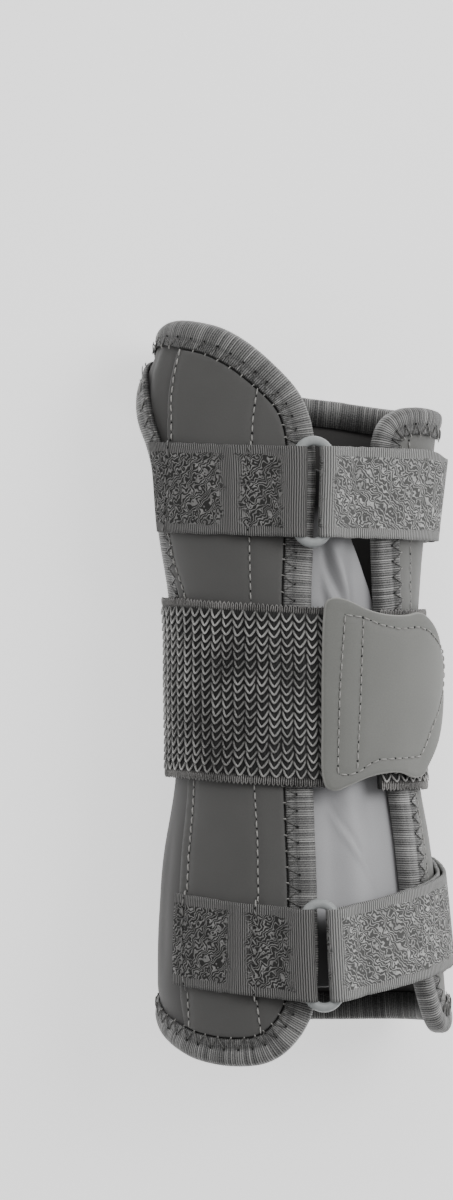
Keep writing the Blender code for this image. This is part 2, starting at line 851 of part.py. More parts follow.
def main():
    """Clear the scene and build the brace."""
    for thing in list(bpy.data.objects):
        bpy.data.objects.remove(thing, do_unlink=True)
    add_wrap()
    add_stay_cover()
    add_tongue()
    add_wrist_band()
    add_pull_tab()
    add_ring_straps()


main()
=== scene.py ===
"""Looks of a soft wrist brace for a right hand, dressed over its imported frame.

Metres. +X is the little-finger side, +Y the fingertips and +Z the back of the hand. Every piece is
laid on the hollow that the hand fills: a place is a turn in degrees (0 on the back of the hand, +90 at
the little-finger side, -90 at the thumb side, 180 on the palm), a y along the arm, and a lift out from
the hollow's skin.
"""

from __future__ import annotations

import json
import logging
import math
from collections.abc import Callable, Sequence
from dataclasses import dataclass, field
from enum import Enum

import bmesh
import bpy
import numpy as np
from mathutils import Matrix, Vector
from mathutils.geometry import delaunay_2d_cdt

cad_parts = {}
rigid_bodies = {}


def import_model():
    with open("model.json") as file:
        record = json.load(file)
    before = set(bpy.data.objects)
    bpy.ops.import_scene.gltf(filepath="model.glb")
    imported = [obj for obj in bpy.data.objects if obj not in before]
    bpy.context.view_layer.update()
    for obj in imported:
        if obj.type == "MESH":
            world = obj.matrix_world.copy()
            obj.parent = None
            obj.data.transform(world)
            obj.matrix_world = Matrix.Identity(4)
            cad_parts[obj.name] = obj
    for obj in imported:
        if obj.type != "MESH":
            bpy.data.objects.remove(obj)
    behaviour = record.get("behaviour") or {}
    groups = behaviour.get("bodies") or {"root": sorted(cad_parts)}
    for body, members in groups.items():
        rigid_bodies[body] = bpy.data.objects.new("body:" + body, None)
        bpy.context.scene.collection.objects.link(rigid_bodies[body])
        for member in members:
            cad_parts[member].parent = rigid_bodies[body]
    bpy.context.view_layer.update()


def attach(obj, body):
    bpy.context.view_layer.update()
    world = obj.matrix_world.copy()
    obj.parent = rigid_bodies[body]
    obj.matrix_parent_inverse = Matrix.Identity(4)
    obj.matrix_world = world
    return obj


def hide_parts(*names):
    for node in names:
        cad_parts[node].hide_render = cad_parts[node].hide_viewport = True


LOG = logging.getLogger("brace")
BODY = "root"
MM = 0.001
LAY = "lay"
FULL_TURN = 360.0

Lift = Callable[[np.ndarray, np.ndarray], np.ndarray]
Rows = tuple[tuple[float, ...], ...]


def eased(at: np.ndarray | float, start: float, end: float) -> np.ndarray:
    """Share from 0 at the start to 1 at the end, with level ends."""
    t = np.clip((np.asarray(at, float) - start) / (end - start), 0.0, 1.0)
    return t * t * (3 - 2 * t)


def hump(at: np.ndarray, middle: np.ndarray | float, reach: float) -> np.ndarray:
    """Soft bump of height 1 round a middle."""
    return np.exp(-(((at - middle) / reach) ** 2))


@dataclass(frozen=True)
class Walls:
    """Wall thicknesses of the frame, and the lifts that follow from them."""

    clearance: float = 0.3 * MM
    wrap: float = 2.6 * MM
    tape: float = 1.0 * MM
    cover: float = 1.0 * MM
    tongue: float = 1.2 * MM
    strap: float = 1.0 * MM
    band: float = 2.2 * MM
    tab: float = 1.6 * MM
    wire: float = 2.65 * MM
    ring_clearance: float = 0.5 * MM

    @property
    def overlay(self) -> float:
        """Lift of what lies straight on the wrap."""
        return self.wrap + self.clearance

    @property
    def strap_seat(self) -> float:
        """Lift of what lies over the tape and the cover."""
        return self.overlay + self.tape + self.clearance

    @property
    def ply_step(self) -> float:
        """Lift from one strap ply to the next."""
        return self.strap + self.clearance

    @property
    def bar(self) -> float:
        """Lift of the middle of a ring's wire."""
        return self.strap_seat + self.strap + self.ring_clearance + self.wire / 2

    @property
    def fold(self) -> float:
        """Radius of a strap's middle round its bar."""
        return self.wire / 2 + self.ring_clearance + self.strap / 2

    @property
    def tab_seat(self) -> float:
        """Lift of the tab's underside."""
        return self.strap_seat + self.band + self.clearance

    @property
    def tongue_top(self) -> float:
        """Lift of the tongue's face under the flaps."""
        return -(2 * self.clearance + self.tape)


WALLS = Walls()


@dataclass(frozen=True)
class HandForm:
    """The hollow that the hand fills, on which every piece is laid."""

    half_length: float = 102.0 * MM
    half_width: float = 37.4 * MM
    height: float = 56.0 * MM
    rest_half_width: float = 14.0 * MM
    band_width: float = 49.4 * MM
    centre_share: float = 0.45
    floor_start: float = 0.56
    floor_end: float = 0.85
    side_turn: float = 90.0
    rest_turn: float = 165.0
    rows: Rows = (
        # along, side shift, half width, height
        (-1.02, 0.070, 0.989, 1.000),
        (-0.88, 0.059, 1.000, 0.982),
        (-0.69, 0.037, 0.979, 0.946),
        (-0.42, 0.024, 0.914, 0.875),
        (-0.25, 0.024, 0.840, 0.821),
        (0.00, 0.016, 0.829, 0.786),
        (0.25, 0.011, 0.845, 0.768),
        (0.41, -0.012, 0.904, 0.732),
        (0.667, -0.011, 0.985, 0.661),
        (0.735, -0.024, 1.016, 0.643),
        (0.81, -0.029, 1.014, 0.622),
        (0.88, -0.020, 0.990, 0.604),
        (0.95, -0.004, 0.952, 0.588),
        (1.02, 0.018, 0.910, 0.571),
    )

    def section(self, y: np.ndarray) -> tuple[np.ndarray, ...]:
        """Size of the hollow along the arm.

        Args:
            y: Places along the arm.

        Returns:
            Side shift, half width, height and floor at each place.
        """
        table = np.array(self.rows)
        slopes = np.gradient(table, table[:, 0], axis=0)
        share = np.clip(y / self.half_length, table[0, 0], table[-1, 0])
        index = np.clip(np.searchsorted(table[:, 0], share, side="left") - 1, 0, len(table) - 2)
        before, after = table[index], table[index + 1]
        span = (after[:, 0] - before[:, 0])[:, None]
        t = (share - before[:, 0])[:, None] / span
        columns = (
            before * (1 + 2 * t) * (1 - t) ** 2
            + after * t * t * (3 - 2 * t)
            + slopes[index] * span * t * (1 - t) ** 2
            - slopes[index + 1] * span * t * t * (1 - t)
        )
        drop = eased(np.abs(y), self.band_width * self.floor_start, self.half_length * self.floor_end)
        rest_floor = WALLS.overlay + WALLS.band
        floor = rest_floor + (WALLS.tape - WALLS.band) * drop
        return self.half_width * columns[:, 1], self.half_width * columns[:, 2], self.height * columns[:, 3], floor

    def place(self, turn: np.ndarray, y: np.ndarray, lift: np.ndarray | float) -> np.ndarray:
        """Points of places on the form.

        Args:
            turn: Degrees round the form.
            y: Places along the arm.
            lift: Distances out from the hollow.

        Returns:
            One point for each place, on a last axis of three.
        """
        turn, y, lift = (part.astype(float) for part in np.broadcast_arrays(turn, y, lift))
        shape = turn.shape
        turn, y, lift = turn.ravel(), y.ravel(), lift.ravel()
        side, half, height, floor = self.section(y)
        turn = (turn + FULL_TURN / 2) % FULL_TURN - FULL_TURN / 2
        hand, turn = np.copysign(1.0, turn), np.abs(turn)
        back = turn <= self.side_turn
        part = np.clip((turn - self.side_turn) / (self.rest_turn - self.side_turn), 0.0, 1.0)
        angle = np.radians(np.where(back, turn, self.side_turn * (1 + part)))
        across = np.where(back, half, half - self.rest_half_width)
        rise = np.where(back, 1 - self.centre_share, self.centre_share) * height
        closing = np.minimum((FULL_TURN / 2 - turn) / (FULL_TURN / 2 - self.rest_turn), 1.0)
        flat = np.where(back, 0.0, self.rest_half_width * closing)
        out_x, out_z = np.sin(angle) / across, np.cos(angle) / rise
        size = np.hypot(out_x, out_z)
        x = side + hand * (flat + across * np.sin(angle) + lift * out_x / size)
        z = floor + self.centre_share * height + rise * np.cos(angle) + lift * out_z / size
        return np.stack([x, y, np.maximum(z, 0.0)], axis=-1).reshape(*shape, 3)

    def normal(self, turn: np.ndarray, y: np.ndarray) -> np.ndarray:
        """Unit directions out from the form at some places."""
        step = self.place(turn, y, 1 * MM) - self.place(turn, y, 0.0)
        return step / np.linalg.norm(step, axis=-1, keepdims=True)

    def pace(self, turn: np.ndarray, y: np.ndarray, lift: float = WALLS.wrap / 2) -> np.ndarray:
        """Metres round the form for each degree of turn."""
        return np.linalg.norm(self.place(turn + 0.5, y, lift) - self.place(turn - 0.5, y, lift), axis=-1)

    def ways(self, y: float, lift: float) -> tuple[np.ndarray, np.ndarray]:
        """Turns one degree apart over one and a half rounds, and the metres up to each of them."""
        turns = np.arange(-FULL_TURN / 2, 1.5 * FULL_TURN + 1.0)
        steps = self.pace(turns[:-1] + 0.5, np.full(len(turns) - 1, y), lift)
        return turns, np.concatenate(([0.0], np.cumsum(steps)))

    def seen(self, plan: Rows, lift: float, whole: float = 0.0) -> np.ndarray:
        """Places of points that were measured looking down on the back of the hand.

        Args:
            plan: Points as x and y in millimetres.
            lift: Lift of the surface that they lie on.
            whole: Degrees added to each turn.

        Returns:
            Rows of turn and y.
        """
        turns = np.arange(-self.side_turn, self.side_turn + 0.25, 0.25)
        places = []
        for x, y in plan:
            xs = self.place(turns, np.full(len(turns), y * MM), lift)[:, 0]
            places.append((float(np.interp(x * MM, xs, turns)) + whole, y * MM))
        return np.array(places)


FORM = HandForm()


@dataclass(frozen=True)
class Outline:
    """Closed line of places on the form, with the cloth on its left."""

    places: np.ndarray

    @classmethod
    def through(cls, rows: Sequence[Sequence[float]], step: float = 0.8 * MM) -> Outline:
        """Smooth closed line through rows of turn and y, evenly spaced.

        Args:
            rows: Corners of the line.
            step: Distance between its points.

        Returns:
            The line, turned so that it runs with the cloth on its left.
        """
        points = np.array(rows, float)
        plan = points * (0.6 * MM, 1.0)
        turned = np.roll(plan, -1, axis=0)
        if (plan[:, 0] * turned[:, 1] - turned[:, 0] * plan[:, 1]).sum() < 0:
            points = points[::-1]
        count, line = len(points), []
        for index in range(count):
            before, start, end, after = (points[(index + k) % count] for k in (-1, 0, 1, 2))
            spans = [
                max(math.hypot(s[0] * 0.6 * MM, s[1]), 0.8 * MM) ** 0.5
                for s in (start - before, end - start, after - end)
            ]
            chord = (end - start) / spans[1]
            into = ((start - before) / spans[0] - (end - before) / (spans[0] + spans[1]) + chord) * spans[1]
            out = (chord - (after - start) / (spans[1] + spans[2]) + (after - end) / spans[2]) * spans[1]
            t = np.linspace(0.0, 1.0, 24, endpoint=False)[:, None]
            line.append(
                start * ((1 + 2 * t) * (1 - t) ** 2)
                + end * (t * t * (3 - 2 * t))
                + into * (t * (1 - t) ** 2)
                - out * (t * t * (1 - t))
            )
        return cls(np.concatenate(line)).spaced(step)

    def spaced(self, step: float) -> Outline:
        """The same line with points an even distance apart."""
        closed = np.vstack([self.places, self.places[:1]])
        points = FORM.place(closed[:, 0], closed[:, 1], WALLS.wrap / 2)
        way = np.concatenate(([0.0], np.cumsum(np.linalg.norm(np.diff(points, axis=0), axis=1))))
        at = np.linspace(0.0, way[-1], max(round(way[-1] / step), 3), endpoint=False)
        return Outline(np.stack([np.interp(at, way, closed[:, column]) for column in (0, 1)], axis=1))

    def outward(self, reach: float = 1.6 * MM) -> np.ndarray:
        """Unit directions out of the cloth, as metres round and metres along."""
        points = FORM.place(self.places[:, 0], self.places[:, 1], WALLS.wrap / 2)
        step = np.linalg.norm(points[1] - points[0])
        steps = max(round(reach / step), 1)
        chord = np.roll(self.places, -steps, axis=0) - np.roll(self.places, steps, axis=0)
        across = np.stack([chord[:, 1], -chord[:, 0] * FORM.pace(self.places[:, 0], self.places[:, 1])], axis=1)
        return across / np.linalg.norm(across, axis=1, keepdims=True)

    def shifted(self, distance: np.ndarray | float) -> Outline:
        """The line moved out of the cloth by a distance, or into it by a negative one."""
        away = self.outward()
        pace = FORM.pace(self.places[:, 0], self.places[:, 1])
        return Outline(self.places + np.stack([distance * away[:, 0] / pace, distance * away[:, 1]], axis=1))


@dataclass
class Shape:
    """Points and faces of a mesh, with its cloth coordinates and any point values."""

    points: np.ndarray
    faces: list[tuple[int, ...]]
    flat: np.ndarray | None = None
    values: dict[str, np.ndarray] = field(default_factory=dict)

    def build(self, name: str, material: bpy.types.Material | None = None) -> bpy.types.Object:
        """Make the mesh object.

        Args:
            name: Its name.
            material: Its finish.

        Returns:
            The object, at the origin.
        """
        mesh = bpy.data.meshes.new(name)
        mesh.from_pydata(self.points.tolist(), [], self.faces)
        if self.flat is not None:
            corners = np.empty(len(mesh.loops), np.int32)
            mesh.loops.foreach_get("vertex_index", corners)
            layer = mesh.uv_layers.new(name=LAY)
            layer.data.foreach_set("uv", self.flat[corners].astype(np.float32).ravel())
        for key, value in self.values.items():
            attribute = mesh.attributes.new(key, "FLOAT", "POINT")
            attribute.data.foreach_set("value", np.asarray(value, np.float32).ravel())
        shape = bmesh.new()
        shape.from_mesh(mesh)
        bmesh.ops.recalc_face_normals(shape, faces=shape.faces)
        shape.to_mesh(mesh)
        shape.free()
        mesh.shade_smooth()
        if material:
            mesh.materials.append(material)
        thing = bpy.data.objects.new(name, mesh)
        bpy.context.scene.collection.objects.link(thing)
        return thing


def quads(rows: int, columns: int, close_rows: bool, close_columns: bool) -> list[tuple[int, ...]]:
    """Faces between neighbouring points of a grid.

    Args:
        rows: Number of rows.
        columns: Points in a row.
        close_rows: Join the last row to the first.
        close_columns: Join the end of each row to its start.

    Returns:
        Faces as point numbers, with caps where closed columns have open rows.
    """
    row = np.arange(rows if close_rows else rows - 1)[:, None]
    column = np.arange(columns if close_columns else columns - 1)[None, :]
    after, beside = (row + 1) % rows, (column + 1) % columns
    corners = [row * columns + column, row * columns + beside, after * columns + beside, after * columns + column]
    faces = [tuple(face) for face in np.stack(np.broadcast_arrays(*corners), axis=-1).reshape(-1, 4).tolist()]
    if close_columns and not close_rows:
        faces.append(tuple(range(columns)))
        faces.append(tuple(range((rows - 1) * columns, rows * columns)))
    return faces


def within(points: np.ndarray, loop: np.ndarray) -> np.ndarray:
    """Whether each plan point lies inside a closed loop."""
    ends = np.roll(loop, 1, axis=0)
    odd = np.zeros(len(points), bool)
    for start, end in zip(loop, ends):
        if start[1] != end[1]:
            spans = (start[1] > points[:, 1]) != (end[1] > points[:, 1])
            cut = start[0] + (end[0] - start[0]) * (points[:, 1] - start[1]) / (end[1] - start[1])
            odd ^= spans & (points[:, 0] < cut)
    return odd


@dataclass(frozen=True)
class CutCloth:
    """A piece of cloth cut to an outline and laid on the form as a wall with a rounded edge."""

    outline: Outline
    holes: tuple[Outline, ...] = ()
    step: float = 2.0 * MM
    edge_round: float = 0.5 * MM
    rim_steps: int = 3

    def lay(self, low: Lift, high: Lift) -> Shape:
        """Lay the cloth between two lifts.

        Args:
            low: Lift of its inner face at a turn and y.
            high: Lift of its outer face.

        Returns:
            The closed wall; its value "rim" is 1 on the cut edge.
        """
        turns, ways = FORM.ways(0.6 * FORM.half_length, WALLS.wrap)
        loops = [self.outline.shifted(-self.edge_round)] + [hole.shifted(self.edge_round) for hole in self.holes]
        hands = [1.0] + [-1.0] * len(self.holes)
        plans = [np.stack([np.interp(l.places[:, 0], turns, ways), l.places[:, 1]], axis=1) for l in loops]
        edge = np.concatenate(plans)
        low_corner, high_corner = edge.min(axis=0), edge.max(axis=0)
        grid_x, grid_y = np.meshgrid(
            np.arange(low_corner[0], high_corner[0], self.step), np.arange(low_corner[1], high_corner[1], self.step)
        )
        grid_x = grid_x + (np.arange(len(grid_x)) % 2)[:, None] * self.step / 2
        grid = np.stack([grid_x.ravel(), grid_y.ravel()], axis=1)
        grid = grid[self.holds(grid, plans)]
        clear = np.full(len(grid), np.inf)
        for start in range(0, len(edge), 64):
            gap = np.linalg.norm(grid[:, None, :] - edge[None, start:start + 64, :], axis=-1).min(axis=1)
            clear = np.minimum(clear, gap)
        inner = grid[clear > 0.55 * self.step]
        edges, first = [], 0
        for plan in plans:
            edges += [(first + i, first + (i + 1) % len(plan)) for i in range(len(plan))]
            first += len(plan)
        flat, _, triangles, *_ = delaunay_2d_cdt(
            [Vector(p) for p in np.concatenate([edge, inner]).tolist()], edges, [], 0, 1e-9
        )
        flat = np.array([tuple(p) for p in flat])
        triangles = np.array([tuple(face) for face in triangles])
        triangles = triangles[self.holds(flat[triangles].mean(axis=1), plans)]
        turn, y = np.interp(flat[:, 0], ways, turns), flat[:, 1]
        count = len(flat)
        points = [FORM.place(turn, y, low(turn, y)), FORM.place(turn, y, high(turn, y))]
        layers = [flat, flat]
        rims = [np.zeros(2 * count)]
        faces = [tuple(face) for face in triangles[:, ::-1].tolist()]
        faces += [tuple(face) for face in (triangles + count).tolist()]
        total, first = 2 * count, 0
        for loop, plan, hand in zip(loops, plans, hands):
            size = len(plan)
            numbers = [np.arange(first, first + size)]
            for step in range(1, self.rim_steps + 1):
                angle = math.pi * (step / (self.rim_steps + 1) - 0.5)
                spot = loop.shifted(hand * self.edge_round * math.cos(angle)).places
                bottom, top = low(spot[:, 0], spot[:, 1]), high(spot[:, 0], spot[:, 1])
                lift = (bottom + top) / 2 + (top - bottom) / 2 * math.sin(angle)
                points.append(FORM.place(spot[:, 0], spot[:, 1], lift))
                layers.append(plan)
                rims.append(np.ones(size))
                numbers.append(np.arange(total, total + size))
                total += size
            numbers.append(np.arange(first + count, first + count + size))
            for below, above in zip(numbers, numbers[1:]):
                faces += [
                    (int(below[i]), int(below[(i + 1) % size]), int(above[(i + 1) % size]), int(above[i]))
                    for i in range(size)
                ]
            first += size
        return Shape(np.concatenate(points), faces, np.concatenate(layers), {"rim": np.concatenate(rims)})

    @staticmethod
    def holds(points: np.ndarray, plans: Sequence[np.ndarray]) -> np.ndarray:
        """Whether each plan point is inside the outline and in none of the holes."""
        kept = within(points, plans[0])
        for hole in plans[1:]:
            kept &= ~within(points, hole)
        return kept


def tube(line: np.ndarray, radius: float, sides: int, closed: bool, up: np.ndarray | None = None) -> Shape:
    """Round bar along a line.

    Args:
        line: Its middle points.
        radius: Its radius; the ends of an open bar are drawn in.
        sides: Faces round it.
        closed: Whether the line is a loop.
        up: Directions that its first side starts from.

    Returns:
        The bar.
    """
    if closed:
        heading = np.roll(line, -1, axis=0) - np.roll(line, 1, axis=0)
    else:
        heading = np.gradient(line, axis=0)
    heading /= np.linalg.norm(heading, axis=1, keepdims=True)
    up = np.tile((0.0, 0.0, 1.0), (len(line), 1)) if up is None else up
    side = np.cross(heading, up)
    side /= np.linalg.norm(side, axis=1, keepdims=True)
    over = np.cross(side, heading)
    radii = np.full(len(line), radius)
    if not closed:
        radii[[0, -1]] *= 0.55
    angles = 2 * math.pi * np.arange(sides) / sides
    rows = line[:, None, :] + radii[:, None, None] * (
        side[:, None, :] * np.cos(angles)[None, :, None] + over[:, None, :] * np.sin(angles)[None, :, None]
    )
    return Shape(rows.reshape(-1, 3), quads(len(line), sides, closed, True))


class Element(Enum):
    """Small shapes that are laid many times over."""

    STITCH = "stitch"
    HOLE = "needle_hole"
    CHEVRON = "yarn_chevron"
    HAIRPIN = "yarn_hairpin"


@dataclass(frozen=True)
class Elements:
    """Sizes of the small shapes, each lying along X with Z out of the cloth."""

    stitch_length: float = 1.95 * MM
    stitch_radius: float = 0.22 * MM
    hole_radius: float = 0.34 * MM
    wale: float = 3.4 * MM
    course: float = 2.2 * MM
    yarn_radius: float = 0.31 * MM
    hairpin_width: float = 0.62 * MM
    hairpin_length: float = 2.5 * MM

    def shape(self, kind: Element) -> Shape:
        """The faces of one small shape."""
        if kind is Element.STITCH:
            t = np.linspace(-1.0, 1.0, 5)
            line = np.stack([t * self.stitch_length / 2, 0 * t, self.stitch_radius * (0.35 - 1.15 * t ** 4)], axis=1)
            return tube(line, self.stitch_radius, 6, False)
        # A flat dark disc standing for the shade inside a needle hole.
        if kind is Element.HOLE:
            angles = 2 * math.pi * np.arange(8) / 8
            ring = np.stack([np.cos(angles), np.sin(angles), 0 * angles], axis=1) * self.hole_radius
            return Shape(np.vstack([ring, (0, 0, 0.08 * MM)]), [(i, (i + 1) % 8, 8) for i in range(8)])
        if kind is Element.CHEVRON:
            t = np.linspace(-1.0, 1.0, 11)
            rise = (t * t + 0.02) ** 0.66 - 0.45
            line = np.stack([
                t * self.wale / 2 * 0.95 * (1 + 0.16 * np.sin(math.pi * np.abs(t))),
                self.course * 1.35 * rise,
                self.yarn_radius * (0.7 - 2.8 * np.abs(t) ** 2.5),
            ], axis=1)
            loop = tube(line, self.yarn_radius, 6, False)
            # Painted shade: the arms darken towards their ends, where they sink into the ground.
            loop.values["sink_shade"] = np.repeat(0.9 * np.abs(t) ** 1.3, 6)
            return loop
        half, reach = self.hairpin_width / 2, self.hairpin_length / 2
        line = np.array([
            (-0.9 * half, -reach, -0.25 * MM), (-half, -0.2 * reach, 0.05 * MM), (-half, 0.6 * reach, 0.05 * MM),
            (0.0, reach, -0.05 * MM),
            (half, 0.6 * reach, 0.05 * MM), (half, -0.2 * reach, 0.05 * MM), (0.9 * half, -reach, -0.25 * MM),
        ])
        return tube(line, 0.22 * MM, 5, False)


@dataclass
class Repeats:
    """Lays one small shape at many places with a Geometry Nodes tree."""

    sizes: Elements = field(default_factory=Elements)
    tree: bpy.types.NodeTree | None = None
    sockets: dict[str, str] = field(default_factory=dict)

    def plant(self) -> None:
        """Build the tree: each point gets the shape, turned along the cloth and slightly unevenly."""
        tree = bpy.data.node_groups.new("laid_repeats", "GeometryNodeTree")
        face = tree.interface
        face.new_socket("Geometry", in_out="INPUT", socket_type="NodeSocketGeometry")
        for name, kind in (
            ("Element", "NodeSocketObject"), ("Size", "NodeSocketVector"), ("Wobble", "NodeSocketFloat"),
            ("Uneven", "NodeSocketFloat"), ("Seed", "NodeSocketInt"), ("Finish", "NodeSocketMaterial"),
        ):
            self.sockets[name] = face.new_socket(name, in_out="INPUT", socket_type=kind).identifier
        face.new_socket("Geometry", in_out="OUTPUT", socket_type="NodeSocketGeometry")
        desk = Desk(tree)
        given = desk.add("NodeGroupInput")
        element = desk.add("GeometryNodeObjectInfo", {"Object": given.outputs["Element"]})
        axes = [
            desk.add("GeometryNodeInputNamedAttribute", {"Name": name}, data_type="FLOAT_VECTOR").outputs[0]
            for name in ("up", "along")
        ]
        rotation = desk.add(
            "FunctionNodeAxesToRotation", {0: axes[0], 1: axes[1]}, primary_axis="Z", secondary_axis="X"
        )
        swing = desk.add(
            "FunctionNodeRandomValue", {0: (-0.4, -0.4, -1.0), 1: (0.4, 0.4, 1.0), "Seed": given.outputs["Seed"]},
            data_type="FLOAT_VECTOR",
        )
        wobble = desk.add(
            "ShaderNodeVectorMath", {0: swing.outputs[0], "Scale": given.outputs["Wobble"]}, operation="SCALE"
        )
        turned = desk.add(
            "FunctionNodeRotateRotation",
            {"Rotation": rotation.outputs[0], "Rotate By": desk.add(
                "FunctionNodeEulerToRotation", {"Euler": wobble.outputs[0]}).outputs[0]},
            rotation_space="LOCAL",
        )
        more = desk.add(
            "FunctionNodeRandomValue", {0: (-1.0, -1.0, -1.0), 1: (1.0, 1.0, 1.0), "Seed": desk.add(
                "ShaderNodeMath", {0: given.outputs["Seed"], 1: 7.0}, operation="ADD").outputs[0]},
            data_type="FLOAT_VECTOR",
        )
        uneven = desk.add(
            "ShaderNodeVectorMath", {0: more.outputs[0], "Scale": given.outputs["Uneven"]}, operation="SCALE"
        )
        grown = desk.add("ShaderNodeVectorMath", {0: uneven.outputs[0], 1: (1.0, 1.0, 1.0)}, operation="ADD")
        scale = desk.add(
            "ShaderNodeVectorMath", {0: grown.outputs[0], 1: given.outputs["Size"]}, operation="MULTIPLY"
        )
        laid = desk.add("GeometryNodeInstanceOnPoints", {
            "Points": given.outputs["Geometry"], "Instance": element.outputs["Geometry"],
            "Rotation": turned.outputs[0], "Scale": scale.outputs[0],
        })
        real = desk.add("GeometryNodeRealizeInstances", {"Geometry": laid.outputs[0]})
        dressed = desk.add(
            "GeometryNodeSetMaterial", {"Geometry": real.outputs[0], "Material": given.outputs["Finish"]}
        )
        desk.add("NodeGroupOutput", {0: dressed.outputs[0]})
        self.tree = tree

    def lay(
        self, name: str, kind: Element, spots: Spots, finish: bpy.types.Material,
        size: tuple[float, float, float] = (1.0, 1.0, 1.0), wobble: float = 0.05, uneven: float = 0.06, seed: int = 1,
    ) -> bpy.types.Object:
        """Lay a small shape at each spot and make the result a plain mesh.

        Args:
            name: Name of the new piece.
            kind: The small shape.
            spots: Where it is laid.
            finish: Its material.
            size: Its stretch along, across and out of the cloth.
            wobble: Largest turn away from its line, in radians.
            uneven: Largest share by which its size differs.
            seed: Seed of its unevenness.

        Returns:
            The mesh object, at the origin.
        """
        if self.tree is None:
            self.plant()
        element = self.sizes.shape(kind).build(kind.value)
        mesh = bpy.data.meshes.new(name)
        mesh.from_pydata(spots.points.tolist(), [], [])
        for key, value in (("up", spots.ups), ("along", spots.alongs)):
            mesh.attributes.new(key, "FLOAT_VECTOR", "POINT").data.foreach_set("vector", value.ravel())
        bed = bpy.data.objects.new(name + "_bed", mesh)
        bpy.context.scene.collection.objects.link(bed)
        modifier = bed.modifiers.new("laid", "NODES")
        modifier.node_group = self.tree
        for key, value in (
            ("Element", element), ("Size", size), ("Wobble", wobble), ("Uneven", uneven), ("Seed", seed),
            ("Finish", finish),
        ):
            modifier[self.sockets[key]] = value
        graph = bpy.context.evaluated_depsgraph_get()
        graph.update()
        plain = bpy.data.meshes.new_from_object(bed.evaluated_get(graph))
        plain.name = name
        for key in ("up", "along"):
            if key in plain.attributes:
                plain.attributes.remove(plain.attributes[key])
        bpy.data.objects.remove(bed)
        bpy.data.objects.remove(element)
        plain.shade_smooth()
        thing = bpy.data.objects.new(name, plain)
        bpy.context.scene.collection.objects.link(thing)
        return thing


@dataclass(frozen=True)
class Spots:
    """Places for small shapes: a point, a direction along the row and a direction out of the cloth."""

    points: np.ndarray
    alongs: np.ndarray
    ups: np.ndarray

    @classmethod
    def row(cls, places: np.ndarray, lift: Lift, pitch: float, phase: float = 0.5, closed: bool = False) -> Spots:
        """Spots evenly along a line of places.

        Args:
            places: Rows of turn and y.
            lift: Lift of the row at a turn and y.
            pitch: Distance between spots.
            phase: Share of a pitch before the first spot.
            closed: Whether the line is a loop.

        Returns:
            The spots.
        """
        if closed:
            places = np.vstack([places, places[:1]])
        fine = np.linspace(0, len(places) - 1, 12 * len(places))
        line = np.stack([np.interp(fine, np.arange(len(places)), places[:, c]) for c in (0, 1)], axis=1)
        points = FORM.place(line[:, 0], line[:, 1], lift(line[:, 0], line[:, 1]))
        way = np.concatenate(([0.0], np.cumsum(np.linalg.norm(np.diff(points, axis=0), axis=1))))
        count = max(int(way[-1] / pitch), 1)
        at = (np.arange(count) + phase) * way[-1] / count

        def along(distance: np.ndarray) -> np.ndarray:
            return np.stack([np.interp(distance, way, points[:, column]) for column in range(3)], axis=1)

        heading = along(at + pitch / 3) - along(at - pitch / 3)
        ups = FORM.normal(np.interp(at, way, line[:, 0]), np.interp(at, way, line[:, 1]))
        return cls(along(at), heading / np.linalg.norm(heading, axis=1, keepdims=True), ups)

    def raised(self, distance: float) -> Spots:
        """The same spots further out of the cloth."""
        return Spots(self.points + self.ups * distance, self.alongs, self.ups)

    def kept(self, mask: np.ndarray) -> Spots:
        """Only some of the spots."""
        return Spots(self.points[mask], self.alongs[mask], self.ups[mask])

    @staticmethod
    def joined(rows: Sequence[Spots]) -> Spots:
        """Several rows of spots as one."""
        return Spots(*(np.concatenate([getattr(r, n) for r in rows]) for n in ("points", "alongs", "ups")))


@dataclass(frozen=True)
class Desk:
    """Short calls that place and link nodes in one tree."""

    tree: bpy.types.NodeTree

    def add(self, kind: str, inputs: dict | None = None, **settings: object) -> bpy.types.Node:
        """Place a node.

        Args:
            kind: Its type.
            inputs: Values or sockets for its inputs, by name or number.
            settings: Its own settings.

        Returns:
            The node.
        """
        node = self.tree.nodes.new(kind)
        for key, value in settings.items():
            setattr(node, key, value)
        for key, value in (inputs or {}).items():
            if isinstance(value, bpy.types.NodeSocket):
                self.tree.links.new(value, node.inputs[key])
            else:
                node.inputs[key].default_value = value
        return node

    def math(self, operation: str, *values: object) -> bpy.types.NodeSocket:
        """Result of a sum on numbers or sockets."""
        return self.add("ShaderNodeMath", dict(enumerate(values)), operation=operation).outputs[0]

    def blend(self, share: object, low: object, high: object) -> bpy.types.NodeSocket:
        """Colour between two colours or sockets."""
        node = self.add("ShaderNodeMix", {"Factor": share}, data_type="RGBA")
        for name, value in (("A", low), ("B", high)):
            socket = next(s for s in node.inputs if s.name == name and s.type == "RGBA")
            if isinstance(value, bpy.types.NodeSocket):
                self.tree.links.new(value, socket)
            else:
                socket.default_value = (*value, 1.0)
        return next(s for s in node.outputs if s.type == "RGBA")

    def ramp(self, value: object, low: float, high: float) -> bpy.types.NodeSocket:
        """Value spread from 0 at low to 1 at high, held at both ends."""
        return self.add(
            "ShaderNodeMapRange", {"Value": value, "From Min": low, "From Max": high}, clamp=True
        ).outputs[0]


class Effect(Enum):
    """Surface effects that several finishes share."""

    GRAIN = "cloth_grain"
    RIBS = "cross_ribs"
    PILE = "looped_pile"


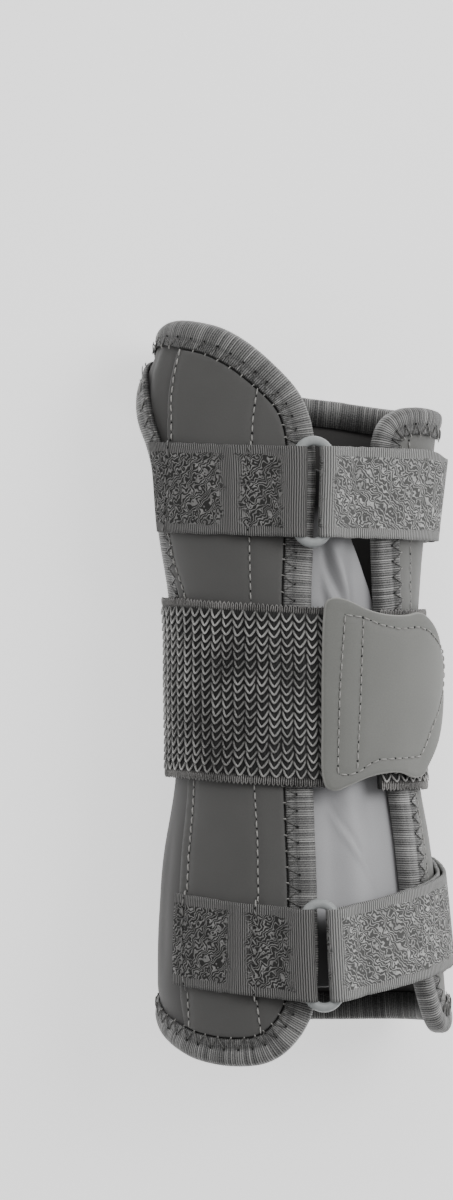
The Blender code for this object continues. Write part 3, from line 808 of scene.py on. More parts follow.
class Effects:
    """Shader groups of the shared effects, each built once."""

    made: dict[Effect, bpy.types.NodeTree] = {}

    @classmethod
    def group(cls, effect: Effect) -> bpy.types.NodeTree:
        """The group of one effect."""
        if effect not in cls.made:
            tree = bpy.data.node_groups.new(effect.value, "ShaderNodeTree")
            tree.interface.new_socket("Place", in_out="INPUT", socket_type="NodeSocketVector")
            for name in ("Pitch", "Uneven"):
                tree.interface.new_socket(name, in_out="INPUT", socket_type="NodeSocketFloat")
            for name in ("Ridge", "Tone"):
                tree.interface.new_socket(name, in_out="OUTPUT", socket_type="NodeSocketFloat")
            desk = Desk(tree)
            given = desk.add("NodeGroupInput")
            build = {Effect.GRAIN: cls.grain, Effect.RIBS: cls.ribs, Effect.PILE: cls.pile}[effect]
            ridge, tone = build(desk, given)
            desk.add("NodeGroupOutput", {"Ridge": ridge, "Tone": tone})
            cls.made[effect] = tree
        return cls.made[effect]

    @staticmethod
    def noise(desk: Desk, place: object, scale: object, detail: float = 2.0) -> bpy.types.NodeSocket:
        """Noise over a place."""
        return desk.add("ShaderNodeTexNoise", {"Vector": place, "Scale": scale, "Detail": detail}).outputs["Fac"]

    @classmethod
    def grain(cls, desk: Desk, given: bpy.types.Node) -> tuple[object, object]:
        """Fine dull grain of laminated cloth, and slow blotches in its shade."""
        fine = cls.noise(desk, given.outputs["Place"], desk.math("DIVIDE", 1.0, given.outputs["Pitch"]), 3.0)
        broad = cls.noise(desk, given.outputs["Place"], 90.0, 4.0)
        uneven = desk.math("MULTIPLY", desk.math("SUBTRACT", broad, 0.5), given.outputs["Uneven"])
        return fine, desk.math("ADD", uneven, 0.5)

    @classmethod
    def ribs(cls, desk: Desk, given: bpy.types.Node) -> tuple[object, object]:
        """Fine ribs across the length of a tape, with threads that differ in shade."""
        parts = desk.add("ShaderNodeSeparateXYZ", {0: given.outputs["Place"]})
        jitter = desk.math("MULTIPLY", cls.noise(desk, given.outputs["Place"], 700.0), given.outputs["Uneven"])
        count = desk.math("ADD", desk.math("DIVIDE", parts.outputs["X"], given.outputs["Pitch"]), jitter)
        wave = desk.math("SINE", desk.math("MULTIPLY", count, 2 * math.pi))
        ridge = desk.math("MULTIPLY_ADD", wave, 0.5, 0.5)
        thread = desk.add("ShaderNodeTexWhiteNoise", {"W": desk.math("FLOOR", count)}, noise_dimensions="1D")
        return ridge, thread.outputs["Value"]

    @classmethod
    def pile(cls, desk: Desk, given: bpy.types.Node) -> tuple[object, object]:
        """Short curled loops, and the shade between their rows."""
        parts = desk.add("ShaderNodeSeparateXYZ", {0: given.outputs["Place"]})
        bend = cls.noise(desk, given.outputs["Place"], 430.0, 1.5)
        way = desk.math("DIVIDE", desk.math("ADD", parts.outputs["X"], parts.outputs["Y"]), given.outputs["Pitch"])
        count = desk.math("MULTIPLY_ADD", bend, given.outputs["Uneven"], way)
        loop = desk.ramp(desk.math("SINE", desk.math("MULTIPLY", count, 2 * math.pi)), -0.2, 0.8)
        return loop, cls.noise(desk, given.outputs["Place"], 260.0, 3.0)


@dataclass(frozen=True)
class Finish:
    """A dull or shiny surface with its own pattern, read from the cloth's own coordinates."""

    name: str
    dark: tuple[float, float, float]
    light: tuple[float, float, float]
    roughness: float = 0.8
    bump: float = 0.3
    depth: float = 0.15 * MM
    pitch: float = 0.5 * MM
    uneven: float = 0.3

    def start(self) -> tuple[bpy.types.Material, Desk, bpy.types.Node, bpy.types.NodeSocket]:
        """New material with its shader and the cloth's coordinates."""
        material = bpy.data.materials.new(self.name)
        material.use_nodes = True
        desk = Desk(material.node_tree)
        shader = material.node_tree.nodes["Principled BSDF"]
        place = desk.add("ShaderNodeUVMap", uv_map=LAY).outputs[0]
        return material, desk, shader, place

    def effect(self, desk: Desk, effect: Effect, place: object, pitch: float, uneven: float) -> bpy.types.Node:
        """Place a shared effect."""
        node = desk.add("ShaderNodeGroup", node_tree=Effects.group(effect))
        desk.tree.links.new(place, node.inputs["Place"])
        node.inputs["Pitch"].default_value = pitch
        node.inputs["Uneven"].default_value = uneven
        return node

    def raise_surface(self, desk: Desk, shader: bpy.types.Node, height: object) -> None:
        """Feed a height into the shader's normal."""
        bump = desk.add("ShaderNodeBump", {"Height": height, "Strength": self.bump, "Distance": self.depth})
        desk.tree.links.new(bump.outputs[0], shader.inputs["Normal"])

    def material(self) -> bpy.types.Material:
        """The finish as a material."""
        raise NotImplementedError


@dataclass(frozen=True)
class LaminateFinish(Finish):
    """Smooth laminated cloth; its tone value goes from the dark to the light shade and on the wrap, tongue and tab
    carries painted light and shade laid by place, its rim is paler.
    """

    rim: tuple[float, float, float] = (0.2, 0.2, 0.19)
    sheen: float = 0.15

    def material(self) -> bpy.types.Material:
        """The finish as a material."""
        material, desk, shader, place = self.start()
        grain = self.effect(desk, Effect.GRAIN, place, self.pitch, self.uneven)
        # Tone from the pieces: painted light and shade on the wrap, tongue and tab, a fixed tone on the stay cover.
        tone = desk.add("ShaderNodeAttribute", attribute_name="tone").outputs["Fac"]
        rim = desk.add("ShaderNodeAttribute", attribute_name="rim").outputs["Fac"]
        colour = desk.blend(tone, self.dark, self.light)
        shade = desk.math("MULTIPLY_ADD", grain.outputs["Tone"], 0.55, 0.72)
        speck = desk.math("MULTIPLY_ADD", grain.outputs["Ridge"], 0.30, 0.85)
        shaded = desk.add(
            "ShaderNodeVectorMath", {0: colour, "Scale": desk.math("MULTIPLY", shade, speck)}, operation="SCALE"
        ).outputs[0]
        # The cut edge is blended towards the rim colour, so it is paler.
        rim_paled = desk.blend(rim, shaded, self.rim)
        desk.tree.links.new(rim_paled, shader.inputs["Base Color"])
        rough = desk.math("MULTIPLY_ADD", grain.outputs["Ridge"], 0.2, self.roughness - 0.1)
        desk.tree.links.new(rough, shader.inputs["Roughness"])
        shader.inputs["Sheen Weight"].default_value = self.sheen
        shader.inputs["Sheen Roughness"].default_value = 0.6
        self.raise_surface(desk, shader, grain.outputs["Ridge"])
        return material


@dataclass(frozen=True)
class TapeFinish(Finish):
    """Elastic tape with shiny ribs across it; its ridge value paints highlights on the rib crests and shade in the
    grooves.
    """

    def material(self) -> bpy.types.Material:
        """The finish as a material."""
        material, desk, shader, place = self.start()
        ribs = self.effect(desk, Effect.RIBS, place, self.pitch, self.uneven)
        grain = self.effect(desk, Effect.GRAIN, place, 0.35 * MM, 0.8)
        ridge = desk.add("ShaderNodeAttribute", attribute_name="ridge").outputs["Fac"]
        # Painted highlight: the rib crests are lit, varied by each thread's own tone.
        lit = desk.math("MULTIPLY", ridge, desk.math("MULTIPLY_ADD", ribs.outputs["Tone"], 0.7, 0.45))
        shade = desk.math("ADD", lit, desk.math("MULTIPLY_ADD", grain.outputs["Ridge"], 0.7, -0.35))
        colour = desk.blend(desk.ramp(shade, 0.0, 1.0), self.dark, self.light)
        desk.tree.links.new(colour, shader.inputs["Base Color"])
        desk.tree.links.new(
            desk.math("MULTIPLY_ADD", grain.outputs["Ridge"], 0.3, self.roughness - 0.15), shader.inputs["Roughness"]
        )
        self.raise_surface(desk, shader, desk.math("ADD", grain.outputs["Ridge"], ribs.outputs["Ridge"]))
        return material


@dataclass(frozen=True)
class WebbingFinish(Finish):
    """Webbing with short curled loops between two ribbed edges, and ribs where it is folded."""

    half_width: float = 12.5 * MM
    edge: float = 2.7 * MM

    def material(self) -> bpy.types.Material:
        """The finish as a material."""
        material, desk, shader, place = self.start()
        pile = self.effect(desk, Effect.PILE, place, self.pitch, 6.0)
        ribs = self.effect(desk, Effect.RIBS, place, 0.62 * MM, 0.35)
        across = desk.math("ABSOLUTE", desk.add("ShaderNodeSeparateXYZ", {0: place}).outputs["Y"])
        wander = desk.math("MULTIPLY_ADD", pile.outputs["Tone"], 1.6 * MM, -0.8 * MM)
        start = self.half_width - self.edge
        edge = desk.ramp(desk.math("ADD", across, wander), start - 0.15 * MM, start + 0.15 * MM)
        folded = desk.add("ShaderNodeAttribute", attribute_name="ribbed").outputs["Fac"]
        broken = desk.ramp(
            desk.math("ADD", folded, desk.math("MULTIPLY_ADD", pile.outputs["Tone"], 1.2, -0.6)), 0.35, 0.65
        )
        ribbed = desk.math("MAXIMUM", edge, broken)
        loops = desk.math("MULTIPLY", pile.outputs["Ridge"], desk.ramp(pile.outputs["Tone"], 0.1, 0.65))
        ridge = desk.math(
            "ADD",
            desk.math("MULTIPLY", loops, desk.math("SUBTRACT", 1.0, ribbed)),
            desk.math("MULTIPLY", desk.math("MULTIPLY", ribs.outputs["Ridge"], 0.75), ribbed),
        )
        colour = desk.blend(ridge, self.dark, self.light)
        desk.tree.links.new(colour, shader.inputs["Base Color"])
        desk.tree.links.new(
            desk.math("MULTIPLY_ADD", ridge, -0.25, self.roughness), shader.inputs["Roughness"]
        )
        self.raise_surface(desk, shader, ridge)
        return material


@dataclass(frozen=True)
class YarnFinish(Finish):
    """Twisted thread or yarn, read from object coordinates; the knit's yarn is darkened with painted shade where its
    arms sink.
    """

    def material(self) -> bpy.types.Material:
        """The finish as a material."""
        material, desk, shader, _ = self.start()
        place = desk.add("ShaderNodeTexCoord").outputs["Object"]
        grain = self.effect(desk, Effect.GRAIN, place, self.pitch, self.uneven)
        shade = desk.math("ADD", grain.outputs["Tone"], desk.math("MULTIPLY_ADD", grain.outputs["Ridge"], 1.2, -0.6))
        # Painted shade where the yarn sinks into the ground.
        sink_shade = desk.math("SUBTRACT", 1.0, desk.add("ShaderNodeAttribute", attribute_name="sink_shade").outputs["Fac"])
        lit = desk.math("MULTIPLY", desk.ramp(shade, 0.1, 0.9), sink_shade)
        desk.tree.links.new(desk.blend(lit, self.dark, self.light), shader.inputs["Base Color"])
        desk.tree.links.new(
            desk.math("MULTIPLY_ADD", grain.outputs["Ridge"], 0.3, self.roughness - 0.15), shader.inputs["Roughness"]
        )
        self.raise_surface(desk, shader, grain.outputs["Ridge"])
        return material


# Its colours give the stay cover's own shade at a fixed tone; on the wrap the light colour is painted light on the lit
# parts.
WRAP_FINISH = LaminateFinish(
    "wrap_laminate", (0.043, 0.041, 0.040), (0.150, 0.150, 0.143), 0.72, 0.25, 0.06 * MM, 0.45 * MM, 0.35,
    rim=(0.07, 0.07, 0.07),
)
TAB_FINISH = LaminateFinish(
    "tab_laminate", (0.165, 0.167, 0.155), (0.190, 0.192, 0.180), 0.68, 0.2, 0.05 * MM, 0.45 * MM, 0.25,
    rim=(0.33, 0.33, 0.31),
)
# The tongue's near-black dark colour is the painted shadow at its ends under the straps.
TONGUE_FINISH = LaminateFinish(
    "tongue_cloth", (0.03, 0.03, 0.031), (0.50, 0.50, 0.515), 0.60, 0.2, 0.05 * MM, 0.35 * MM, 0.25,
    rim=(0.34, 0.34, 0.35),
)
# Dark and light colours of the painted groove shade and crest highlight, over the threads' own shades.
TAPE_FINISH = TapeFinish(
    "binding_tape", (0.020, 0.020, 0.020), (0.48, 0.475, 0.465), 0.45, 0.5, 0.12 * MM, 0.65 * MM, 0.25
)
KNIT_GROUND = TapeFinish("knit_ground", (0.006, 0.006, 0.006), (0.030, 0.030, 0.029), 0.85, 0.6, 0.2 * MM, 0.9 * MM, 0.8)
KNIT_YARN = YarnFinish("knit_yarn", (0.030, 0.029, 0.028), (0.66, 0.65, 0.63), 0.38, 0.4, 0.08 * MM, 0.3 * MM, 1.2)
KNIT_EDGE = YarnFinish("knit_edge", (0.030, 0.029, 0.028), (0.33, 0.32, 0.31), 0.45, 0.4, 0.08 * MM, 0.3 * MM, 1.2)
THREAD = YarnFinish("sewing_thread", (0.20, 0.197, 0.19), (0.46, 0.45, 0.43), 0.55, 0.3, 0.06 * MM, 0.25 * MM, 0.8)
DULL_THREAD = YarnFinish("dull_thread", (0.07, 0.07, 0.068), (0.27, 0.265, 0.26), 0.55, 0.3, 0.06 * MM, 0.25 * MM, 0.8)
DARK_THREAD = YarnFinish("dark_thread", (0.03, 0.03, 0.03), (0.16, 0.157, 0.15), 0.55, 0.3, 0.06 * MM, 0.25 * MM, 0.8)
# Near-black discs that paint the shade inside the needle holes.
HOLE_SHADE_FINISH = YarnFinish("needle_hole_shade", (0.006, 0.006, 0.006), (0.015, 0.015, 0.015), 0.95, 0.2, 0.05 * MM, 0.3 * MM)
KEEPER_FINISH = WebbingFinish("keeper_webbing", (0.018, 0.018, 0.017), (0.27, 0.265, 0.26), 0.85, 0.8, 0.3 * MM, 1.45 * MM)
STRAP_FINISH = WebbingFinish("strap_webbing", (0.085, 0.085, 0.083), (0.52, 0.52, 0.51), 0.85, 0.8, 0.3 * MM, 1.45 * MM)
RING_FINISH = YarnFinish("ring_coat", (0.29, 0.305, 0.305), (0.36, 0.375, 0.375), 0.35, 0.1, 0.03 * MM, 1.5 * MM, 0.3)


def dress(thing: bpy.types.Object, slot: str, *nodes: str) -> bpy.types.Object:
    """Fix a finished piece to the frame.

    Args:
        thing: The piece.
        slot: The record's material slot; not used.
        nodes: Nodes of the frame that it stands for.

    Returns:
        The piece.
    """
    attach(thing, BODY)
    if nodes:
        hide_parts(*nodes)
    faces = sum(len(face.vertices) - 2 for face in thing.data.polygons)
    LOG.info("%s: %d triangles, for %s", thing.name, faces, ", ".join(nodes) or "detail")
    return thing


@dataclass(frozen=True)
class Seams:
    """Lines of stitches on the back, measured as x and y in millimetres."""

    stay_outer: Rows = (
        (-31.6, 95.0), (-34.1, 74.8), (-34.6, 60.0), (-35.1, 44.7), (-33.4, 35.6), (-30.6, 27.1),
        (-27.2, 10.0), (-26.9, -10.0), (-27.9, -24.5), (-28.8, -39.3), (-29.8, -55.0), (-30.2, -67.9),
        (-29.6, -82.0), (-29.2, -91.5),
    )
    stay_inner: Rows = (
        (-10.2, 84.0), (-12.3, 64.1), (-12.6, 42.2), (-12.3, 26.0), (-11.8, 0.0), (-11.3, -25.8),
        (-10.4, -40.0), (-10.2, -54.5), (-10.8, -68.0), (-10.8, -82.2), (-9.5, -92.5),
    )
    flap: Rows = (
        (32.3, 69.5), (33.0, 40.3), (33.4, 23.0), (33.9, 0.0), (34.7, -26.8), (36.1, -35.3), (37.4, -44.0),
        (38.6, -60.0), (39.4, -78.0),
    )
    fold_line: Rows = (
        (-33.7, 93.5), (-35.2, 76.1), (-35.4, 62.0), (-36.2, 46.0), (-34.8, 36.0), (-32.0, 26.0),
        (-29.4, 8.0), (-29.0, -10.0), (-29.7, -23.8), (-31.0, -40.0), (-31.9, -53.8), (-32.1, -70.0),
        (-31.6, -84.0), (-31.1, -92.0),
    )
    pitch: float = 2.6 * MM
    sink: float = 0.40 * MM
    width: float = 1.0 * MM

    def line(self, rows: Rows) -> np.ndarray:
        """One seam as places on the form."""
        return FORM.seen(rows, WALLS.overlay + WALLS.cover)

    def dip(self, rows: Rows, turn: np.ndarray, y: np.ndarray) -> np.ndarray:
        """Depth by which a seam pulls the cloth in at some places."""
        line = self.line(rows)
        order = np.argsort(line[:, 1])
        middle = np.interp(y, line[order, 1], line[order, 0])
        turn = (turn + FULL_TURN / 2) % FULL_TURN - FULL_TURN / 2
        away = (turn - middle) * FORM.pace(middle, y, WALLS.overlay)
        live = (y > line[order[0], 1]) & (y < line[order[-1], 1])
        pucker = 0.8 + 0.2 * np.sin(2 * math.pi * y / self.pitch)
        return self.sink * pucker * hump(away, 0.0, self.width) * live


@dataclass(frozen=True)
class Wrap:
    """The foam-backed wrap with its thumb hole, its stay cover and the tape round its edges."""

    seams: Seams
    outline_rows: Rows = (
        (35.2, 0.674), (38.6, 0.411), (41.4, 0.250), (48.0, -0.050), (51.2, -0.261), (51.4, -0.502),
        (54.0, -0.700), (58.5, -0.826), (66.0, -0.897), (76.0, -0.919), (92.0, -0.900), (125.0, -0.900),
        (180.0, -0.905), (235.0, -0.890), (270.0, -0.890), (285.3, -0.9255), (300.8, -0.960), (312.0, -0.981),
        (330.0, -0.994), (344.4, -0.983), (354.0, -0.945), (362.5, -0.868), (366.2, -0.770), (367.5, -0.530),
        (367.0, -0.261), (367.0, 0.250), (368.8, 0.398), (369.2, 0.620), (367.6, 0.737), (363.0, 0.812),
        (352.5, 0.885), (338.9, 0.948), (324.4, 0.987), (304.0, 1.007), (289.0, 1.008), (270.0, 0.992),
        (250.0, 0.973), (232.0, 0.948), (212.0, 0.895), (185.0, 0.822), (140.0, 0.776), (95.0, 0.762),
        (60.0, 0.772), (48.5, 0.764), (39.5, 0.735),
    )
    thumb_centre: tuple[float, float] = (251.0, 0.486)
    thumb_half: tuple[float, float] = (27.5, 0.350)
    thumb_power: float = 2.4
    reach: float = 1.4 * MM
    leg: float = 6.2 * MM
    thumb_leg: float = 6.0 * MM
    rib: float = 0.65 * MM
    rib_height: float = 0.14 * MM
    cover_gap: float = 0.35 * MM
    zigzag: float = 4.4 * MM
    side_squeeze: float = 0.8 * MM
    side_narrowing: float = 0.25
    thumb_bulge: float = 1.0 * MM
    # reach and lift above the wrap's own face, and how deep the ribs are there, which also sets how strongly their
    # crests are painted light
    tape_profile: Rows = (
        (-1.00, 0.10, 0.2), (-0.98, 0.62, 0.4), (-0.90, 0.82, 0.75), (-0.74, 0.80, 0.75), (-0.60, 0.62, 0.5),
        (-0.52, 0.70, 0.7), (-0.42, 0.98, 1.0), (-0.28, 1.14, 1.0), (-0.12, 1.20, 1.0), (0.02, 1.08, 1.0),
    )

    def edge(self) -> Outline:
        """Cut edge of the wrap, inside its tape."""
        rows = [(turn, share * FORM.half_length) for turn, share in self.outline_rows]
        return Outline.through(rows).shifted(-self.reach)

    def thumb_edge(self) -> Outline:
        """Cut edge of the thumb hole."""
        angles = np.linspace(0.0, 2 * math.pi, 90, endpoint=False)
        run, rise = (np.copysign(np.abs(part(angles)) ** (2 / self.thumb_power), part(angles)) for part in (np.cos, np.sin))
        turns = self.thumb_centre[0] + run * self.thumb_half[0]
        ys = FORM.half_length * (self.thumb_centre[1] + rise * self.thumb_half[1])
        return Outline(np.stack([turns, ys], axis=1)).shifted(self.reach)

    def squeezed(self, turn: np.ndarray, y: np.ndarray) -> np.ndarray:
        """Share by which the tape is pulled tight at the thumb side's two ends."""
        turn = (turn + FULL_TURN / 2) % FULL_TURN - FULL_TURN / 2
        return hump(turn, -92.0, 24.0) * np.maximum(eased(y, 84 * MM, 91 * MM), eased(-y, 76 * MM, 83 * MM))

    def bulged(self, turn: np.ndarray, y: np.ndarray) -> np.ndarray:
        """Share by which the thumb pushes the tape of its hole out."""
        turn = (turn + FULL_TURN / 2) % FULL_TURN - FULL_TURN / 2
        return hump(turn, -88.0, 20.0) * hump(y, 76 * MM, 13 * MM)

    def face(self, turn: np.ndarray, y: np.ndarray) -> np.ndarray:
        """Lift of the wrap's outer face: soft folds beside the thumb and pulled-in seams."""
        late = np.maximum(eased(y, 88 * MM, 93 * MM), eased(-y, 81 * MM, 86 * MM))
        tight = self.side_squeeze * self.squeezed(turn, y) * late
        turn = (turn + FULL_TURN / 2) % FULL_TURN - FULL_TURN / 2
        top = eased(y, 72 * MM, 80 * MM)
        lean = -70.0 - 70.0 * (y - 80 * MM)
        folds = 0.5 * MM * top * (hump(turn, lean, 3.2) - 0.8 * hump(turn, lean - 8.0, 3.0))
        low = eased(-y, 30 * MM, 45 * MM) * eased(y, -84 * MM, -70 * MM)
        folds = folds - 0.35 * MM * low * hump(turn, -74.0, 4.0)
        slack = 0.10 * MM * np.sin(turn / 9.0 + y * 90.0) * np.sin(y * 210.0 + turn / 23.0)
        return WALLS.wrap + np.minimum(folds + slack, 0.55 * MM) - self.seams.dip(self.seams.flap, turn, y) - tight

    def build_wrap(self) -> bpy.types.Object:
        """The wrap itself."""
        cloth = CutCloth(self.edge().spaced(2.0 * MM), (self.thumb_edge().spaced(1.6 * MM),), 1.9 * MM, 0.3 * MM, 1)
        shape = cloth.lay(lambda turn, y: 0.0 * turn, self.face)
        # Painted light: the tone rises towards the little-finger side and the top, and a little on the thumb side
        # towards the fingers, so these parts take the lighter colour.
        painted_side_light = eased(shape.points[:, 0], -2 * MM, 24 * MM) * eased(shape.points[:, 2], 8 * MM, 26 * MM)
        painted_side_light = painted_side_light + 0.2 * eased(-shape.points[:, 0], 8 * MM, 20 * MM) * eased(shape.points[:, 1], -20 * MM, 60 * MM)
        shape.values["tone"] = painted_side_light
        shape.values["rim"] *= 0.0
        return dress(shape.build("wrap", WRAP_FINISH.material()), "wrap_cloth", "body_wrap")

    def cover_outline(self) -> Outline:
        """Outline of the stay cover: the fold line on the thumb side, and the tape's inner edge."""
        inner = self.edge().shifted(-self.leg - self.cover_gap).places
        fold = self.seams.line(self.seams.fold_line)[::-1]
        turns = inner[:, 0] - FULL_TURN
        limit = np.interp(inner[:, 1], fold[:, 1], fold[:, 0])
        kept = (turns > limit + 1.0) & (inner[:, 0] > 270.0)
        start = int(np.argmax(kept & ~np.roll(kept, 1)))
        run = np.roll(np.stack([turns, inner[:, 1]], axis=1), -start, axis=0)[: int(kept.sum())]
        left = fold[::-1]
        left = left[(left[:, 1] < run[-1, 1] - 1.5 * MM) & (left[:, 1] > run[0, 1] + 1.5 * MM)]
        return Outline(np.vstack([run, left])).spaced(1.2 * MM)

    def cover_face(self, turn: np.ndarray, y: np.ndarray) -> np.ndarray:
        """Lift of the stay cover's outer face."""
        face = WALLS.overlay + WALLS.cover - 0.05 * MM
        slack = 0.07 * MM * np.sin(turn / 6.0 + y * 120.0) * np.sin(y * 260.0 - turn / 15.0)
        dips = self.seams.dip(self.seams.stay_outer, turn, y) + self.seams.dip(self.seams.stay_inner, turn, y)
        return face + slack - dips

    def build_cover(self) -> bpy.types.Object:
        """The stay cover."""
        cloth = CutCloth(self.cover_outline(), step=1.0 * MM, edge_round=0.35 * MM, rim_steps=2)
        shape = cloth.lay(lambda turn, y: WALLS.overlay + 0.0 * turn, self.cover_face)
        shape.values["tone"] = 0.30 + 0.0 * shape.points[:, 0]
        shape.values["rim"] *= 0.35
        piece = dress(shape.build("stay_panel", WRAP_FINISH.material()), "wrap_cloth", "stay_cover")
        return piece

    def tape(self, name: str, edge: Outline, leg: float, hand: float, node: str) -> bpy.types.Object:
        """Tape folded over an edge, with a rolled ribbed nose.

        Args:
            name: Name of the piece.
            edge: Cut edge that it binds.
            leg: Width of its flat legs.
            hand: 1 where the cloth lies inside the edge and -1 round a hole.
            node: Node that it stands for.

        Returns:
            The piece.
        """
        edge = edge.spaced(self.rib / 2)
        count = len(edge.places) // 2 * 2
        edge = Outline(edge.places[:count])
        away, pace = edge.outward() * hand, FORM.pace(edge.places[:, 0], edge.places[:, 1])
        high, low, nose = WALLS.overlay, -WALLS.clearance, self.reach
        profile = [(leg * r, high + lift * MM, w) for r, lift, w in self.tape_profile]
        profile += [
            (0.45 * nose, high + 0.78 * MM, 1.0), (0.80 * nose, high + 0.25 * MM, 1.0), (nose, high - 0.7 * MM, 1.0),
            (nose, low + 0.6 * MM, 1.0), (0.8 * nose, low - 0.3 * MM, 1.0), (0.3 * nose, low - 0.8 * MM, 1.0),
            (-0.3 * leg, low - 0.95 * MM, 0.5), (-leg, low - 0.8 * MM, 0.3), (-leg, low, 0.0),
            (0.3 * MM, low, 0.0), (0.3 * MM, high, 0.0), (-leg + 0.1 * MM, high, 0.0),
        ]
        ridge = np.where(np.arange(count) % 2 == 0, 1.0, 0.0)
        rng = np.random.default_rng(4)
        depth = self.rib_height * rng.uniform(0.7, 1.15, count)
        tight, bulge = self.squeezed(*edge.places.T), self.bulged(*edge.places.T)
        rows = []
        for reach, lift, weight in profile:
            out = reach + (ridge - 1.0) * depth * weight * (1.0 if reach > 0.0 else 0.0)
            out = out * (1.0 - self.side_narrowing * tight * (reach < 0.0))
            up = lift - (1.0 - ridge) * depth * weight * (1.0 if lift > high else 0.0)
            if lift > 0.0:
                up = up - self.side_squeeze * tight + self.thumb_bulge * bulge * (lift > high)
            turn = edge.places[:, 0] + out * away[:, 0] / pace
            rows.append(FORM.place(turn, edge.places[:, 1] + out * away[:, 1], up))
        points = np.stack(rows, axis=1)
        weights = np.array([weight for *_, weight in profile])
        spans = np.hypot(*np.diff([(reach, lift) for reach, lift, _ in profile], axis=0).T)
        across = np.concatenate(([0.0], np.cumsum(spans)))
        along = np.arange(count) * self.rib / 2
        flat = np.stack(np.broadcast_arrays(along[:, None], across[None, :]), axis=-1)
        # Painted highlight and shade: crests take the light colour and grooves the dark, most on the rolled nose, less
        # on the legs.
        value = (ridge * rng.uniform(0.5, 1.0, count))[:, None] * np.clip(weights, 0.35, 1.0)[None, :]
        shape = Shape(
            points.reshape(-1, 3), quads(count, len(profile), True, True), flat.reshape(-1, 2), {"ridge": value.ravel()}
        )
        return dress(shape.build(name, TAPE_FINISH.material()), "binding_tape", node)

    def zigzag_spots(self, edge: Outline, leg: float, hand: float) -> tuple[Spots, Spots, Spots]:
        """Zigzag stitches over a tape's flat leg, the needle holes and the ticks at their ends."""
        inner, outer = -leg - 0.45 * MM, -0.52 * leg
        edge = edge.spaced(self.zigzag / 2)
        count = len(edge.places) // 2 * 2
        edge = Outline(edge.places[:count])
        away, pace = edge.outward() * hand, FORM.pace(edge.places[:, 0], edge.places[:, 1])
        reach = np.where(np.arange(count) % 2 == 0, inner, outer)
        tight, bulge = self.squeezed(*edge.places.T), self.bulged(*edge.places.T)
        slim = 1.0 - self.side_narrowing * tight
        turn = edge.places[:, 0] + reach * slim * away[:, 0] / pace
        y = edge.places[:, 1] + reach * slim * away[:, 1]
        lift = np.where(reach == inner, WALLS.overlay + 0.45 * MM, WALLS.overlay + 0.95 * MM)
        lift = lift - self.side_squeeze * tight + self.thumb_bulge * bulge
        corners, ups = FORM.place(turn, y, lift), FORM.normal(turn, y)
        over = FORM.place(turn + 0.5 * MM * away[:, 0] / pace, y + 0.5 * MM * away[:, 1], lift + 0.25 * MM) - corners
        ticks = Spots(corners + over * 0.4 + ups * 0.15 * MM, over / np.linalg.norm(over, axis=1, keepdims=True), ups)
        step = np.roll(corners, -1, axis=0) - corners
        middle = corners + step / 2 + (ups + np.roll(ups, -1, axis=0)) / 2 * 0.30 * MM
        heading = step / np.linalg.norm(step, axis=1, keepdims=True)
        threads = Spots(middle, heading, ups)
        holes = Spots(corners + ups * 0.03 * MM, heading, ups)
        return threads, holes.kept(reach == outer), ticks.kept(reach == inner)

    def build(self, repeats: Repeats) -> None:
        """Build the wrap with everything that is sewn to its edges."""
        wrap = self.build_wrap()
        self.build_cover()
        edge, hole = self.edge(), self.thumb_edge()
        self.tape("edge_tape", edge, self.leg, 1.0, "edge_binding")
        self.tape("thumb_tape", hole, self.thumb_leg, -1.0, "thumb_binding")
        runs = [self.zigzag_spots(edge, self.leg, 1.0), self.zigzag_spots(hole, self.thumb_leg, -1.0)]
        threads = repeats.lay(
            "tape_zigzag", Element.STITCH, Spots.joined([run[0] for run in runs]), DARK_THREAD.material(),
            (1.75, 0.75, 0.75), 0.06, 0.08, 3,
        )
        dress(threads, "binding_tape")
        ticks = repeats.lay(
            "tape_ticks", Element.STITCH, Spots.joined([run[2] for run in runs]), THREAD.material(),
            (0.55, 0.75, 0.75), 0.2, 0.2, 4,
        )
        dress(ticks, "binding_tape")
        holes = repeats.lay(
            "tape_holes", Element.HOLE, Spots.joined([run[1] for run in runs]), HOLE_SHADE_FINISH.material(),
            (1.0, 1.0, 1.0), 0.3, 0.3, 5,
        )
        dress(holes, "binding_tape")


